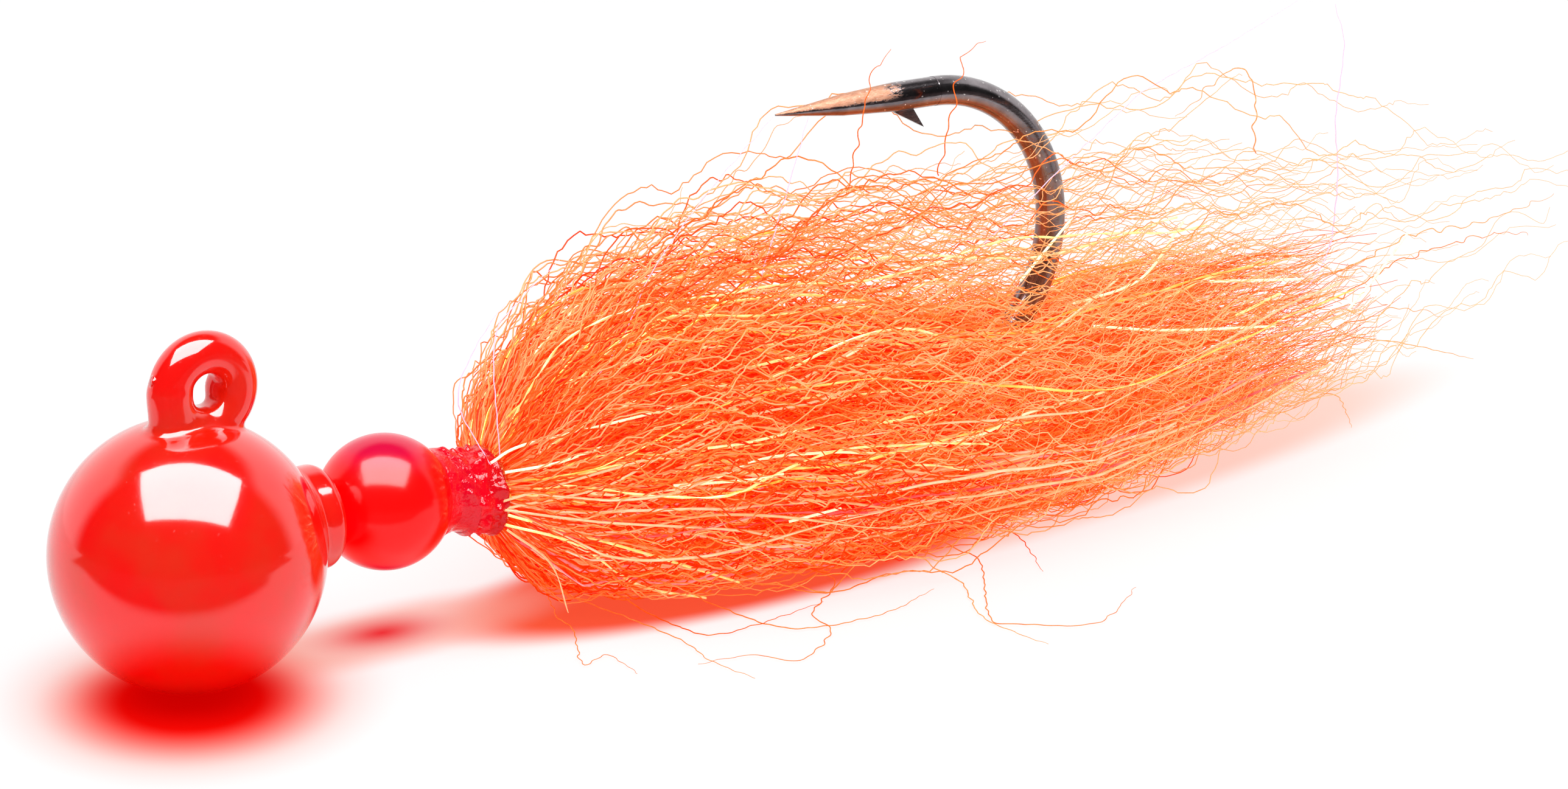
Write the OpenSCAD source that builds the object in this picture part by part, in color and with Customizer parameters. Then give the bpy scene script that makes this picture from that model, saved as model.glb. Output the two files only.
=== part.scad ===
// Jig head: a painted lead ball cast on a black jig hook, with a translucent bead,
// a thread tie and a long skirt of crinkled hair and flash.
// Lengths are millimetres. +X runs along the shank to the tail and +Z is up.
// The shapes are drawn about the ball's centre, then moved so that the origin is
// the centre of the line eye.

/* [Lead head] */
// Diameter of the cast lead ball
ball_d = 11.6; // [9:0.1:14]
// Thickness of the paint film on the ball and the collar
coat_t = 0.2; // [0.1:0.05:0.35]
// Diameter of the collar cast behind the ball
collar_d = 4.2; // [3.6:0.1:5]
// How far the collar stands out behind the ball
collar_out = 0.8; // [0.6:0.1:1.5]
// Radius of the collar's rounded rear rim
collar_round = 0.5; // [0.2:0.05:0.6]
// Height of the hook shank above the ball's centre
shank_rise = 0.5; // [0:0.1:0.8]

/* [Hook] */
// Diameter of the hook wire
wire_d = 1.35; // [1.1:0.05:1.5]
// Radius of the eye, measured to the middle of the wire
eye_r = 1.6; // [1.5:0.05:1.9]
// Height of the eye's centre above the top of the painted ball
eye_lift = 1.28; // [1.1:0.02:2]
// Free gap between the eye's wire end and the riser
eye_gap = 0.1; // [0.05:0.05:0.3]
// Distance of the riser in front of the ball's centre
riser_forward = 0.64; // [0.2:0.02:1.2]
// Radius of the elbow between the riser and the shank, to the middle of the wire
elbow_r = 2; // [1.2:0.1:2.8]
// Length of the straight shank behind the ball's centre
shank_len = 38.9; // [34:0.1:46]
// Radius of the bend, measured to the middle of the wire
bend_r = 6.9; // [6.4:0.05:8]
// Angle that the bend turns through
bend_sweep = 178.2; // [174:0.1:180]
// Length of the straight limb from the bend to the start of the point
limb_len = 2.1; // [1.2:0.1:4]
// Length of the ground point
point_len = 6.5; // [4:0.1:9]
// Length of the slender front part of the point
tip_len = 3.6; // [2:0.1:5]
// Diameter of the point where its slender front part starts
tip_d = 0.98; // [0.6:0.02:1.1]
// Diameter of the blunt end of the tip
tip_end_d = 0.08; // [0.04:0.02:0.2]
// Length of the barb
barb_len = 1.6; // [1:0.1:2.2]
// How far the barb's tip stands off the wire
barb_out = 0.85; // [0.4:0.05:1.2]
// Width of the barb across the wire
barb_w = 0.5; // [0.3:0.05:0.8]
// Distance from the tip to the front of the barb
barb_back = 6.4; // [5:0.1:8]

/* [Paint on the eye] */
// Thickness of the paint film on the eye and the riser
eye_coat_t = 0.275; // [0.2:0.025:0.35]
// Diameter of the hole that the paint leaves for the line
line_hole_d = 1.44; // [1.3:0.02:1.6]
// Diameter of the paint skirt where the riser meets the ball
skirt_d = 2.7; // [2.2:0.1:3.4]
// Height of the paint skirt above the ball
skirt_h = 0.5; // [0.3:0.05:0.8]
// Diameter of the paint drip on the front of the eye
drip_d = 0.5; // [0.3:0.05:0.8]
// Angle of the drip above the middle of the eye
drip_angle = 20; // [0:1:45]

/* [Bead] */
// Diameter of the bead
bead_d = 6; // [5:0.1:7]
// Diameter of the hole through the bead
bead_hole_d = 1.6; // [1.55:0.05:2]
// Free gap between the collar and the bead
bead_gap = 0.2; // [0.05:0.05:0.3]

/* [Thread tie] */
// Free gap between the bead and the tie
tie_gap = 0.6; // [0.4:0.1:1.2]
// Length of the thread tie along the shank
tie_len = 2.1; // [1.6:0.1:3]
// How far the tie's centre sits below the shank
tie_drop = 0.4; // [0:0.05:0.4]
// Thickness of the thread laid on the bare wire
base_t = 0.2; // [0.1:0.05:0.3]
// Diameter of the bound hair under the outer thread
butts_d = 2.9; // [2.8:0.05:3.4]
// Thickness of the outer thread
thread_t = 0.25; // [0.15:0.05:0.35]
// Thickness of the cement over the outer thread
cement_t = 0.15; // [0.1:0.05:0.3]
// Diameter of the clear cement where it meets the bead
bead_cement_d = 3.9; // [3:0.1:4.6]

/* [Hair skirt] */
// Length of the hair behind the tie
hair_len = 60; // [45:1:75]
// Greatest radius of the packed hair
hair_r = 7.2; // [6.4:0.1:8.4]
// Upward slope of the hair's middle line
hair_slope = 1.5; // [0:0.1:3]
// Height of the packed hair's top above the shank
hair_top = 4.6; // [4:0.1:5.4]
// Radius of the packed hair's rounded top, across the shank
hair_dome_r = 12; // [9:0.5:30]
// Share of the radius taken by the core hair along the shank
core_share = 0.3; // [0.25:0.01:0.4]
// Free gap between neighbouring bunches of hair
cleft = 0.3; // [0.25:0.05:0.5]
// Free gap between the hair and the hook wire
hair_clear = 0.3; // [0.2:0.05:0.5]

/* [Loose veil of hair above the packed hair] */
// Greatest height of the veil above the hair's middle line
veil_r = 12.1; // [11:0.1:13]
// Free width between the two veils, across the hook's gap
veil_split = 8.6; // [8.4:0.1:9]
// Width of one veil
veil_w = 1.6; // [1.2:0.1:3]
// Height of the veil's lower edge above the hair's middle line
veil_foot = 1.5; // [1:0.1:2.5]

/* [Flash] */
// Width of a flash strand
flash_w = 0.35; // [0.25:0.05:0.5]
// Thickness of a flash strand
flash_t = 0.1; // [0.08:0.01:0.12]
// Length of the longest flash strand
flash_len = 52; // [30:1:54]

/* [Hidden] */
$fn = 96;

// Clearance between a film or a casting and what it was laid on
film_gap = 0.02;
// A length that reaches past any piece of the model
reach = 3*(shank_len + hair_len);

wire_r = wire_d/2;
// The limb is ground a hair thinner than the bend, and its stock runs a little way into it
limb_step = 0.01;
limb_r = wire_r - limb_step;
limb_lap = 0.2;
ball_r = ball_d/2;
painted_r = ball_r + coat_t;
eye_wire_r = wire_r + eye_coat_t;

riser_x = -riser_forward;
eye_x = riser_x + eye_r;
eye_z = painted_r + eye_lift;
// The eye's wire runs from the riser over the top and back, until its end meets the riser
eye_sweep = 180 + acos((wire_r + eye_gap - eye_r)/(eye_r + wire_r));

collar_end = ball_r + collar_out;
bead_half_hole = sqrt(pow(bead_d/2, 2) - pow(bead_hole_d/2, 2));
bead_x = collar_end + coat_t + bead_gap + bead_half_hole;
tie_x = bead_x + bead_half_hole + tie_gap;
tie_end = tie_x + tie_len;
tie_z = shank_rise - tie_drop;

butts_r = butts_d/2;
wrap_r = butts_r + film_gap + thread_t;
cement_r = wrap_r + film_gap + cement_t;
thread_turns = round(tie_len/thread_t);
turn_pitch = tie_len/thread_turns;

floor_z = -painted_r;
hair_x = tie_end + film_gap;
hair_top_z = shank_rise + hair_top;
hair_steps = 20;
veil_steps = 12;
flash_steps = 12;
// Length over which a flash strand spreads from the tie to its own course
flash_spread = hair_len/10;
flash_root_r = wrap_r - flash_w;

// Angles about the hair's middle line, from +Y, at which one bunch ends and the next starts
cleft_angles = [90, 150, 210, 270, 330, 390];
// Courses of the flash strands: the share of the hair's radius and of the longest strand
upper_courses = [[0.45, 0.7], [0.62, 1], [0.8, 0.82]];
side_courses = [[0.5, 0.7], [0.75, 1], [1.03, 0.82]];
// The courses under the hair keep off the ground
under_courses = [[0.36, 0.7], [0.5, 1], [0.62, 0.82]];

// Radius of the hair at the share t of its length: a quick flare, a full middle, a fine tail
function hair_radius(t) = max(hair_r*pow(sin(180*sqrt(t)), 0.7), (1 - t)*wrap_r);
// Radius of the veil at the share t of the hair's length: it rises at once behind the tie
function veil_radius(t) = veil_r*pow(sin(180*pow(t, 0.46)), 0.8);
// Radius at which a flash strand runs, at the distance s behind the tie, for its share k
function flash_radius(s, k) =
    let (u = min(1, s/flash_spread))
    (1 - u)*flash_root_r + u*k*hair_radius(s/hair_len);

// Moves a shape from the ball's centre to the line eye's frame
module placed() {
    translate([-eye_x, 0, -eye_z]) children();
}

// Turns a shape that is drawn along +Z so that it runs along +X
module along_x() {
    rotate([0, 90, 0]) children();
}

// Part of a ring in the hook's plane, from the angle start through the signed angle sweep
module ring_arc(x, z, ring_r, tube_r, start, sweep) {
    translate([x, 0, z])
        rotate([90, 0, 0])
            rotate([0, 0, start])
                rotate_extrude(angle = sweep)
                    translate([ring_r, 0]) circle(tube_r);
}

// The bent wire without its point, with its radius grown by gap
module bent_wire(gap) {
    r = wire_r + gap;
    bend_z = shank_rise + bend_r;
    ring_arc(eye_x, eye_z, eye_r, r, 180, -eye_sweep);
    translate([riser_x, 0, shank_rise + elbow_r]) cylinder(h = eye_z - shank_rise - elbow_r, r = r);
    ring_arc(riser_x + elbow_r, shank_rise + elbow_r, elbow_r, r, 180, 90);
    translate([riser_x + elbow_r, 0, shank_rise])
        along_x() cylinder(h = shank_len - riser_x - elbow_r, r = r);
    ring_arc(shank_len, bend_z, bend_r, r, -90, bend_sweep);
}

// Puts a shape that is drawn along +Z at the end of the bend, running towards the tip
module on_limb() {
    translate([shank_len + bend_r*sin(bend_sweep), 0, shank_rise + bend_r*(1 - cos(bend_sweep))])
        rotate([0, 90 - bend_sweep, 0])
            children();
}

// A barb raised from the wire's inner side, with its tip towards the bend
module barb() {
    front = limb_len + point_len - barb_back;
    // The barb's faces start inside the wire
    sunk = wire_r/2;
    on_limb()
        rotate([90, 0, 180])
            translate([0, 0, -barb_w/2])
                linear_extrude(barb_w)
                    polygon([[wire_r - sunk, front],
                             [wire_r, front],
                             [wire_r + barb_out, front - barb_len],
                             [wire_r - sunk, front - barb_len/2]]);
}

module hook() {
    color([0.16, 0.13, 0.15]) placed() {
        bent_wire(0);
        on_limb() translate([0, 0, -limb_lap]) cylinder(h = limb_len + limb_lap, r = limb_r);
        on_limb() translate([0, 0, limb_len]) cylinder(h = point_len - tip_len, r1 = limb_r, r2 = tip_d/2);
        on_limb() translate([0, 0, limb_len + point_len - tip_len])
            cylinder(h = tip_len, r1 = tip_d/2, r2 = tip_end_d/2);
        barb();
    }
}

// The ball and its collar, grown all over by the thickness grow
module head_form(grow) {
    collar_r = collar_d/2 + grow;
    round_r = collar_round;
    end = collar_end + grow;
    sphere(ball_r + grow);
    translate([0, 0, shank_rise]) {
        along_x() cylinder(h = end - round_r, r = collar_r);
        along_x() cylinder(h = end, r = collar_r - round_r);
        translate([end - round_r, 0, 0])
            along_x() rotate_extrude() translate([collar_r - round_r, 0]) circle(round_r);
    }
}

module lead_head() {
    color([0.45, 0.46, 0.48]) placed() difference() {
        head_form(0);
        bent_wire(film_gap);
    }
}

module head_paint() {
    color([0.85, 0.05, 0.03]) placed() difference() {
        head_form(coat_t);
        head_form(film_gap);
        bent_wire(film_gap);
    }
}

module eye_paint() {
    color([0.88, 0.06, 0.04]) placed() difference() {
        union() {
            ring_arc(eye_x, eye_z, eye_r, eye_wire_r, 0, 360);
            translate([riser_x, 0, 0]) cylinder(h = eye_z, r = eye_wire_r);
            translate([riser_x, 0, 0])
                cylinder(h = painted_r + skirt_h, r1 = skirt_d, r2 = eye_wire_r);
            translate([eye_x, 0, eye_z])
                rotate([0, drip_angle, 0]) translate([-eye_r - eye_wire_r, 0, 0]) sphere(drip_d/2);
        }
        sphere(painted_r + film_gap);
        bent_wire(film_gap);
        translate([eye_x, reach/2, eye_z]) rotate([90, 0, 0]) cylinder(h = reach, r = line_hole_d/2);
    }
}

module bead() {
    color([0.75, 0.02, 0.1]) placed() translate([bead_x, 0, shank_rise]) difference() {
        sphere(bead_d/2);
        translate([-reach/2, 0, 0]) along_x() cylinder(h = reach, r = bead_hole_d/2);
    }
}

// Clear cement that fills the corner between the bead and the tie
module bead_cement() {
    start = bead_x + sqrt(pow(bead_d/2, 2) - pow(bead_cement_d/2, 2));
    color([0.9, 0.45, 0.5, 0.6]) placed() difference() {
        translate([start, 0, shank_rise])
            along_x() cylinder(h = tie_x - film_gap - start, r1 = bead_cement_d/2, r2 = butts_r);
        translate([bead_x, 0, shank_rise]) sphere(bead_d/2 + film_gap);
        bent_wire(film_gap);
    }
}

// A plain sleeve along the tie, centred at the height z, from its own inner and outer radius
module tie_sleeve(z, outer_r) {
    translate([tie_x, 0, z]) along_x() cylinder(h = tie_len, r = outer_r);
}

module thread_base() {
    color([0.5, 0.05, 0.08]) placed() difference() {
        tie_sleeve(shank_rise, wire_r + base_t);
        bent_wire(film_gap);
    }
}

module hair_butts() {
    color([0.9, 0.3, 0.05]) placed() difference() {
        tie_sleeve(tie_z, butts_r);
        tie_sleeve(shank_rise, wire_r + base_t + film_gap);
    }
}

// Outer thread, with one round turn beside the next
module thread_wrap() {
    turn_r = turn_pitch/2;
    turn_points = [for (turn = [0 : thread_turns - 1])
                      for (a = [-75 : 30 : 75])
                          [wrap_r - turn_r*(1 - cos(a)), (turn + 0.5)*turn_pitch + turn_r*sin(a)]];
    inner_r = butts_r + film_gap;
    color([0.72, 0.03, 0.15]) placed() translate([tie_x, 0, tie_z])
        along_x() rotate_extrude()
            polygon(concat([[inner_r, 0]], turn_points, [[inner_r, tie_len]]));
}

// Glossy cement over the outer thread, with rounded ends
module head_cement() {
    ball_end = cement_t;
    color([0.8, 0.05, 0.2]) placed() difference() {
        union() {
            translate([tie_x + ball_end, 0, tie_z])
                along_x() cylinder(h = tie_len - 2*ball_end, r = cement_r);
            for (x = [tie_x + ball_end, tie_end - ball_end])
                translate([x, 0, tie_z])
                    along_x() rotate_extrude() translate([wrap_r + film_gap, 0]) circle(cement_t);
        }
        tie_sleeve(tie_z, wrap_r + film_gap);
    }
}

// Carries a shape drawn along +X from the tie onto the hair's sloping middle line
module on_hair_line() {
    translate([hair_x, 0, tie_z]) rotate([0, -hair_slope, 0]) children();
}

// The whole hair as one turned body along +X, with its radius scaled by share and grown by gap
module hair_body(share, gap) {
    along_x() rotate_extrude()
        polygon(concat([[0, 0]],
                       [for (i = [0 : hair_steps])
                           [share*hair_radius(i/hair_steps) + gap, hair_len*i/hair_steps]],
                       [[0, hair_len]]));
}

// Space that the packed hair may fill, grown by gap: above the ground, and below the hook's
// gap under a dome
module hair_room(gap) {
    intersection() {
        translate([hair_x - gap, -reach/2, floor_z - gap]) cube(reach);
        translate([hair_x - gap, 0, hair_top_z - hair_dome_r])
            along_x() cylinder(h = reach, r = hair_dome_r + gap);
    }
}

module hair_core() {
    color([0.85, 0.25, 0.04]) placed() difference() {
        intersection() {
            on_hair_line() hair_body(core_share, 0);
            hair_room(0);
        }
        bent_wire(hair_clear);
    }
}

// One bunch of hair, from the angle start, which is one of cleft_angles, to the next
module hair_bunch(start, tone) {
    turn = 60;
    color(tone) placed() difference() {
        intersection() {
            on_hair_line() difference() {
                intersection() {
                    hair_body(1, 0);
                    rotate([start, 0, 0]) rotate([90, 0, 90]) linear_extrude(reach)
                        polygon([[0, 0], [reach, 0], [reach*cos(turn), reach*sin(turn)]]);
                }
                hair_body(core_share, cleft);
                for (a = [start, start + turn])
                    rotate([a, 0, 0]) translate([-reach/2, 0, -cleft/2]) cube([2*reach, reach, cleft]);
            }
            hair_room(0);
        }
        bent_wire(hair_clear);
    }
}

module hair_upper_near() { hair_bunch(cleft_angles[0], [0.98, 0.45, 0.15]); }
module hair_side_near() { hair_bunch(cleft_angles[1], [0.95, 0.38, 0.1]); }
module hair_lower_near() { hair_bunch(cleft_angles[2], [0.92, 0.3, 0.06]); }
module hair_lower_far() { hair_bunch(cleft_angles[3], [0.92, 0.3, 0.06]); }
module hair_side_far() { hair_bunch(cleft_angles[4], [0.95, 0.38, 0.1]); }
module hair_upper_far() { hair_bunch(cleft_angles[5], [0.98, 0.45, 0.15]); }

// The loose veil of hair on one side of the hook's gap; side is -1 for the near one, 1 for the far
module hair_veil(side) {
    color([1, 0.55, 0.25]) placed() difference() {
        on_hair_line() intersection() {
            along_x() rotate_extrude()
                polygon(concat([[0, 0]],
                               [for (i = [1 : veil_steps - 1])
                                   let (t = pow(i/veil_steps, 2)) [veil_radius(t), hair_len*t]],
                               [[0, hair_len]]));
            translate([0, side*(veil_split + veil_w)/2 - veil_w/2, veil_foot])
                cube([hair_len, veil_w, reach]);
        }
        intersection() {
            on_hair_line() hair_body(1, cleft);
            hair_room(cleft);
        }
    }
}

module hair_veil_near() { hair_veil(-1); }
module hair_veil_far() { hair_veil(1); }

// One flat flash strand in the plane of a cleft, from the tie along its own course
module flash_strand(share, strand_len) {
    steps = [for (i = [0 : flash_steps]) strand_len*i/flash_steps];
    half = flash_w/2;
    translate([0, 0, -flash_t/2]) linear_extrude(flash_t)
        polygon(concat([for (s = steps) [s, flash_radius(s, share) + half]],
                       [for (i = [flash_steps : -1 : 0])
                           [steps[i], flash_radius(steps[i], share) - half]]));
}

// The flash that lies in one cleft between two bunches of hair
module flash_fan(angle, courses, tone) {
    color(tone) placed() on_hair_line()
        rotate([angle, 0, 0])
            for (course = courses) flash_strand(course[0], course[1]*flash_len);
}

module flash_upper_near() { flash_fan(cleft_angles[1], upper_courses, [1, 0.85, 0.35]); }
module flash_lower_near() { flash_fan(cleft_angles[2], side_courses, [0.98, 0.9, 0.85]); }
module flash_bottom() { flash_fan(cleft_angles[3], under_courses, [0.95, 0.6, 0.75]); }
module flash_lower_far() { flash_fan(cleft_angles[4], side_courses, [0.98, 0.9, 0.85]); }
module flash_upper_far() { flash_fan(cleft_angles[5], upper_courses, [1, 0.85, 0.35]); }

hook();
lead_head();
head_paint();
eye_paint();
bead();
bead_cement();
thread_base();
hair_butts();
thread_wrap();
head_cement();
hair_core();
hair_upper_near();
hair_side_near();
hair_lower_near();
hair_upper_far();
hair_side_far();
hair_lower_far();
hair_veil_near();
hair_veil_far();
flash_upper_near();
flash_lower_near();
flash_bottom();
flash_lower_far();
flash_upper_far();
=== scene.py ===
"""Looks of a jig head: painted ball and eye, black hook, clear bead, cemented tie, hair and flash."""

from __future__ import annotations

import logging
import math
from dataclasses import dataclass
from enum import Enum
from typing import Any

import bpy
import numpy as np
from mathutils import Matrix, Vector

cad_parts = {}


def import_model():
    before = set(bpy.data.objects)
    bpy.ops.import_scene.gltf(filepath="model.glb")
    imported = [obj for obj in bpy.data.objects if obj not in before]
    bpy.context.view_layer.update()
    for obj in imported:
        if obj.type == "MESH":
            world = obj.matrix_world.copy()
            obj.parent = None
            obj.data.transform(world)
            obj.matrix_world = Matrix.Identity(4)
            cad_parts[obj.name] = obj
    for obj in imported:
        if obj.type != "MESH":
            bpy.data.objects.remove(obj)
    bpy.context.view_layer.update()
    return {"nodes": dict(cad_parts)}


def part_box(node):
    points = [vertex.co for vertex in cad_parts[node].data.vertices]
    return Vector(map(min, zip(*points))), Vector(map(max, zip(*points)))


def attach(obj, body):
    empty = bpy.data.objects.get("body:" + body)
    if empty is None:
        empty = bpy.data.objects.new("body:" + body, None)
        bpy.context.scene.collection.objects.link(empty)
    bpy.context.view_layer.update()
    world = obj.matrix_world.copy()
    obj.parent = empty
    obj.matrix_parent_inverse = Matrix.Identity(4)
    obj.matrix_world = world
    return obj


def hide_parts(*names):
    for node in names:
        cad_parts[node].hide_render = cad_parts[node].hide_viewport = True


LOG = logging.getLogger("jig_head")
BODY = "root"
MM = 0.001
TURN = 2 * math.pi
STRAND_UV = "OFBake"
TONE_FROM, TONE_SPAN, STRAND_WIDTH = 0.01, 0.97, 0.004
LENGTH_FROM, LENGTH_SPAN = 0.005, 0.99
MIX_FIRST, MIX_SECOND, MIX_RESULT = 6, 7, 2
WORN_END_X = 36.6
FLOOR_STRAND_Z = -5.86

Colour = tuple[float, float, float]
Stops = list[tuple[float, Colour]]
Outline = tuple[tuple[float, float], ...]


class Value:
    """A shader socket that turns Python arithmetic into Math nodes."""

    def __init__(self, shop: Shop, socket: bpy.types.NodeSocket) -> None:
        """Keep the socket and the node tree that it belongs to.

        Args:
            shop: The node tree that new nodes are added to.
            socket: The output socket that this value stands for.
        """
        self.shop = shop
        self.socket = socket

    def _math(self, operation: str, *terms: Any) -> Value:
        """Add one Math node.

        Args:
            operation: Blender's name for the operation.
            terms: The values or numbers that it works on.

        Returns:
            The node's result.
        """
        return self.shop.node("ShaderNodeMath", {"operation": operation}, dict(enumerate(terms)))

    def __add__(self, other: Any) -> Value:
        """Add."""
        return self._math("ADD", self, other)

    def __radd__(self, other: Any) -> Value:
        """Add from the right."""
        return self._math("ADD", other, self)

    def __sub__(self, other: Any) -> Value:
        """Subtract."""
        return self._math("SUBTRACT", self, other)

    def __rsub__(self, other: Any) -> Value:
        """Subtract from a number."""
        return self._math("SUBTRACT", other, self)

    def __mul__(self, other: Any) -> Value:
        """Multiply."""
        return self._math("MULTIPLY", self, other)

    def __rmul__(self, other: Any) -> Value:
        """Multiply from the right."""
        return self._math("MULTIPLY", other, self)

    def __pow__(self, other: Any) -> Value:
        """Raise to a power."""
        return self._math("POWER", self, other)

    def step(self, low: float, high: float) -> Value:
        """Give 0 below low and 1 above high, with a smooth rise between them.

        Args:
            low: Where the rise starts.
            high: Where the rise ends; below low, the step falls instead.

        Returns:
            The smooth step.
        """
        settings = {"interpolation_type": "SMOOTHSTEP"}
        return self.shop.node("ShaderNodeMapRange", settings, {0: self, 1: low, 2: high, 3: 0.0, 4: 1.0})


class Shop:
    """Adds nodes to one node tree."""

    def __init__(self, tree: bpy.types.NodeTree) -> None:
        """Take a node tree and empty it.

        Args:
            tree: The tree of a material or of the world.
        """
        self.tree = tree
        self.tree.nodes.clear()

    def node(self, kind: str, settings: dict[str, Any] | None = None,
             inputs: dict[int | str, Any] | None = None, output: int | str = 0) -> Value:
        """Add a node, set it up and link it.

        Args:
            kind: Blender's type name of the node.
            settings: The node's own settings, set before its sockets; "stops" fills a colour ramp.
            inputs: The value, link or colour of each input socket, by number or name.
            output: The output socket to return, by number or name.

        Returns:
            The chosen output.
        """
        made = self.tree.nodes.new(kind)
        for name, setting in (settings or {}).items():
            if name == "stops":
                self._fill_ramp(made.color_ramp, setting)
            else:
                setattr(made, name, setting)
        for key, given in (inputs or {}).items():
            socket = made.inputs[key]
            if isinstance(given, Value):
                self.tree.links.new(given.socket, socket)
            elif isinstance(given, tuple) and len(given) == 3 and socket.type == "RGBA":
                socket.default_value = (*given, 1.0)
            else:
                socket.default_value = given
        if not made.outputs:
            return Value(self, made.inputs[0])
        return Value(self, made.outputs[output])

    @staticmethod
    def _fill_ramp(ramp: bpy.types.ColorRamp, stops: Stops) -> None:
        """Put the given stops on a colour ramp.

        Args:
            ramp: The ramp, with its two first stops.
            stops: Places from 0 to 1, each with its colour.
        """
        while len(ramp.elements) < len(stops):
            ramp.elements.new(1.0)
        for element, (place, colour) in zip(ramp.elements, stops):
            element.position = place
            element.color = (*colour, 1.0)

    def object_point(self) -> Value:
        """Return the Object coordinates, in metres."""
        return self.node("ShaderNodeTexCoord", output="Object")

    def split(self, vector: Value, axis: int) -> Value:
        """Return one part of a vector.

        Args:
            vector: The vector.
            axis: 0, 1 or 2 for X, Y or Z.

        Returns:
            That part, as a number.
        """
        return self.node("ShaderNodeSeparateXYZ", inputs={0: vector}, output=axis)

    def noise(self, vector: Value, size: float, detail: float = 2.0, rough: float = 0.5,
              stretch: Colour = (1.0, 1.0, 1.0)) -> Value:
        """Add a Noise texture whose blotches are about size metres across.

        Args:
            vector: The coordinates that it reads.
            size: The size of a blotch.
            detail: How many finer layers it has.
            rough: How strong the finer layers are.
            stretch: How much finer the pattern is along each axis.

        Returns:
            The noise, from 0 to 1.
        """
        scaled = self.node("ShaderNodeVectorMath", {"operation": "MULTIPLY"}, {0: vector, 1: stretch})
        sockets = {"Vector": scaled, "Scale": 1.0 / size, "Detail": detail, "Roughness": rough}
        return self.node("ShaderNodeTexNoise", inputs=sockets)

    def ramp(self, value: Value, stops: Stops) -> Value:
        """Turn a number into a colour.

        Args:
            value: The number, from 0 to 1.
            stops: Places from 0 to 1, each with its colour.

        Returns:
            The colour.
        """
        return self.node("ShaderNodeValToRGB", {"stops": stops}, {0: value})

    def blend(self, share: Value | float, first: Any, second: Any) -> Value:
        """Mix two colours.

        Args:
            share: How much of the second colour there is.
            first: The first colour.
            second: The second colour.

        Returns:
            The mixed colour.
        """
        sockets = {0: share, MIX_FIRST: first, MIX_SECOND: second}
        return self.node("ShaderNodeMix", {"data_type": "RGBA"}, sockets, MIX_RESULT)

    def bump(self, height: Value, distance: float, strength: float = 1.0) -> Value:
        """Turn a height into a bent normal.

        Args:
            height: The height, from 0 to 1.
            distance: The real height that 1 stands for, in metres.
            strength: How much of the bump is used.

        Returns:
            The normal.
        """
        return self.node("ShaderNodeBump", inputs={"Strength": strength, "Distance": distance,
                                                   "Height": height})


def new_material(name: str) -> tuple[bpy.types.Material, Shop]:
    """Make an empty node material.

    Args:
        name: The material's name.

    Returns:
        The material and the shop that fills it.
    """
    material = bpy.data.materials.new(name)
    material.use_nodes = True
    return material, Shop(material.node_tree)


def finish_surface(shop: Shop, sockets: dict[str, Any]) -> None:
    """Add the main shader and the output.

    Args:
        shop: The material's shop.
        sockets: The values and links of the main shader's sockets.
    """
    surface = shop.node("ShaderNodeBsdfPrincipled", inputs=sockets)
    shop.node("ShaderNodeOutputMaterial", inputs={"Surface": surface})


@dataclass(frozen=True)
class PowderPaint:
    """Glossy baked powder paint with a faint orange-peel skin."""

    name: str = "powder_paint"
    colour: Colour = (0.93, 0.0035, 0.002)
    thin_colour: Colour = (0.80, 0.022, 0.006)
    roughness: float = 0.11
    peel_size: float = 0.9 * MM
    peel_height: float = 0.004 * MM
    speck_size: float = 0.22 * MM
    speck_height: float = 0.0016 * MM

    def material(self) -> bpy.types.Material:
        """Build the material.

        Returns:
            The finished material.
        """
        material, shop = new_material(self.name)
        point = shop.object_point()
        cloud = shop.noise(point, 5.0 * self.peel_size, detail=3.0)
        colour = shop.blend(cloud.step(0.38, 0.72), self.colour, self.thin_colour)
        peel = shop.noise(point, self.peel_size, detail=1.0)
        speck = shop.noise(point, self.speck_size, detail=2.0)
        height = peel + speck * (self.speck_height / self.peel_height)
        dust = shop.noise(point, 0.16 * MM, detail=1.0).step(0.66, 0.78)
        finish_surface(shop, {
            "Base Color": colour,
            "Roughness": dust * 0.14 + cloud * 0.08 + (self.roughness - 0.04),
            "IOR": 1.55,
            "Coat Weight": 0.6,
            "Coat Roughness": 0.055,
            "Normal": shop.bump(height, self.peel_height),
        })
        return material


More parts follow.
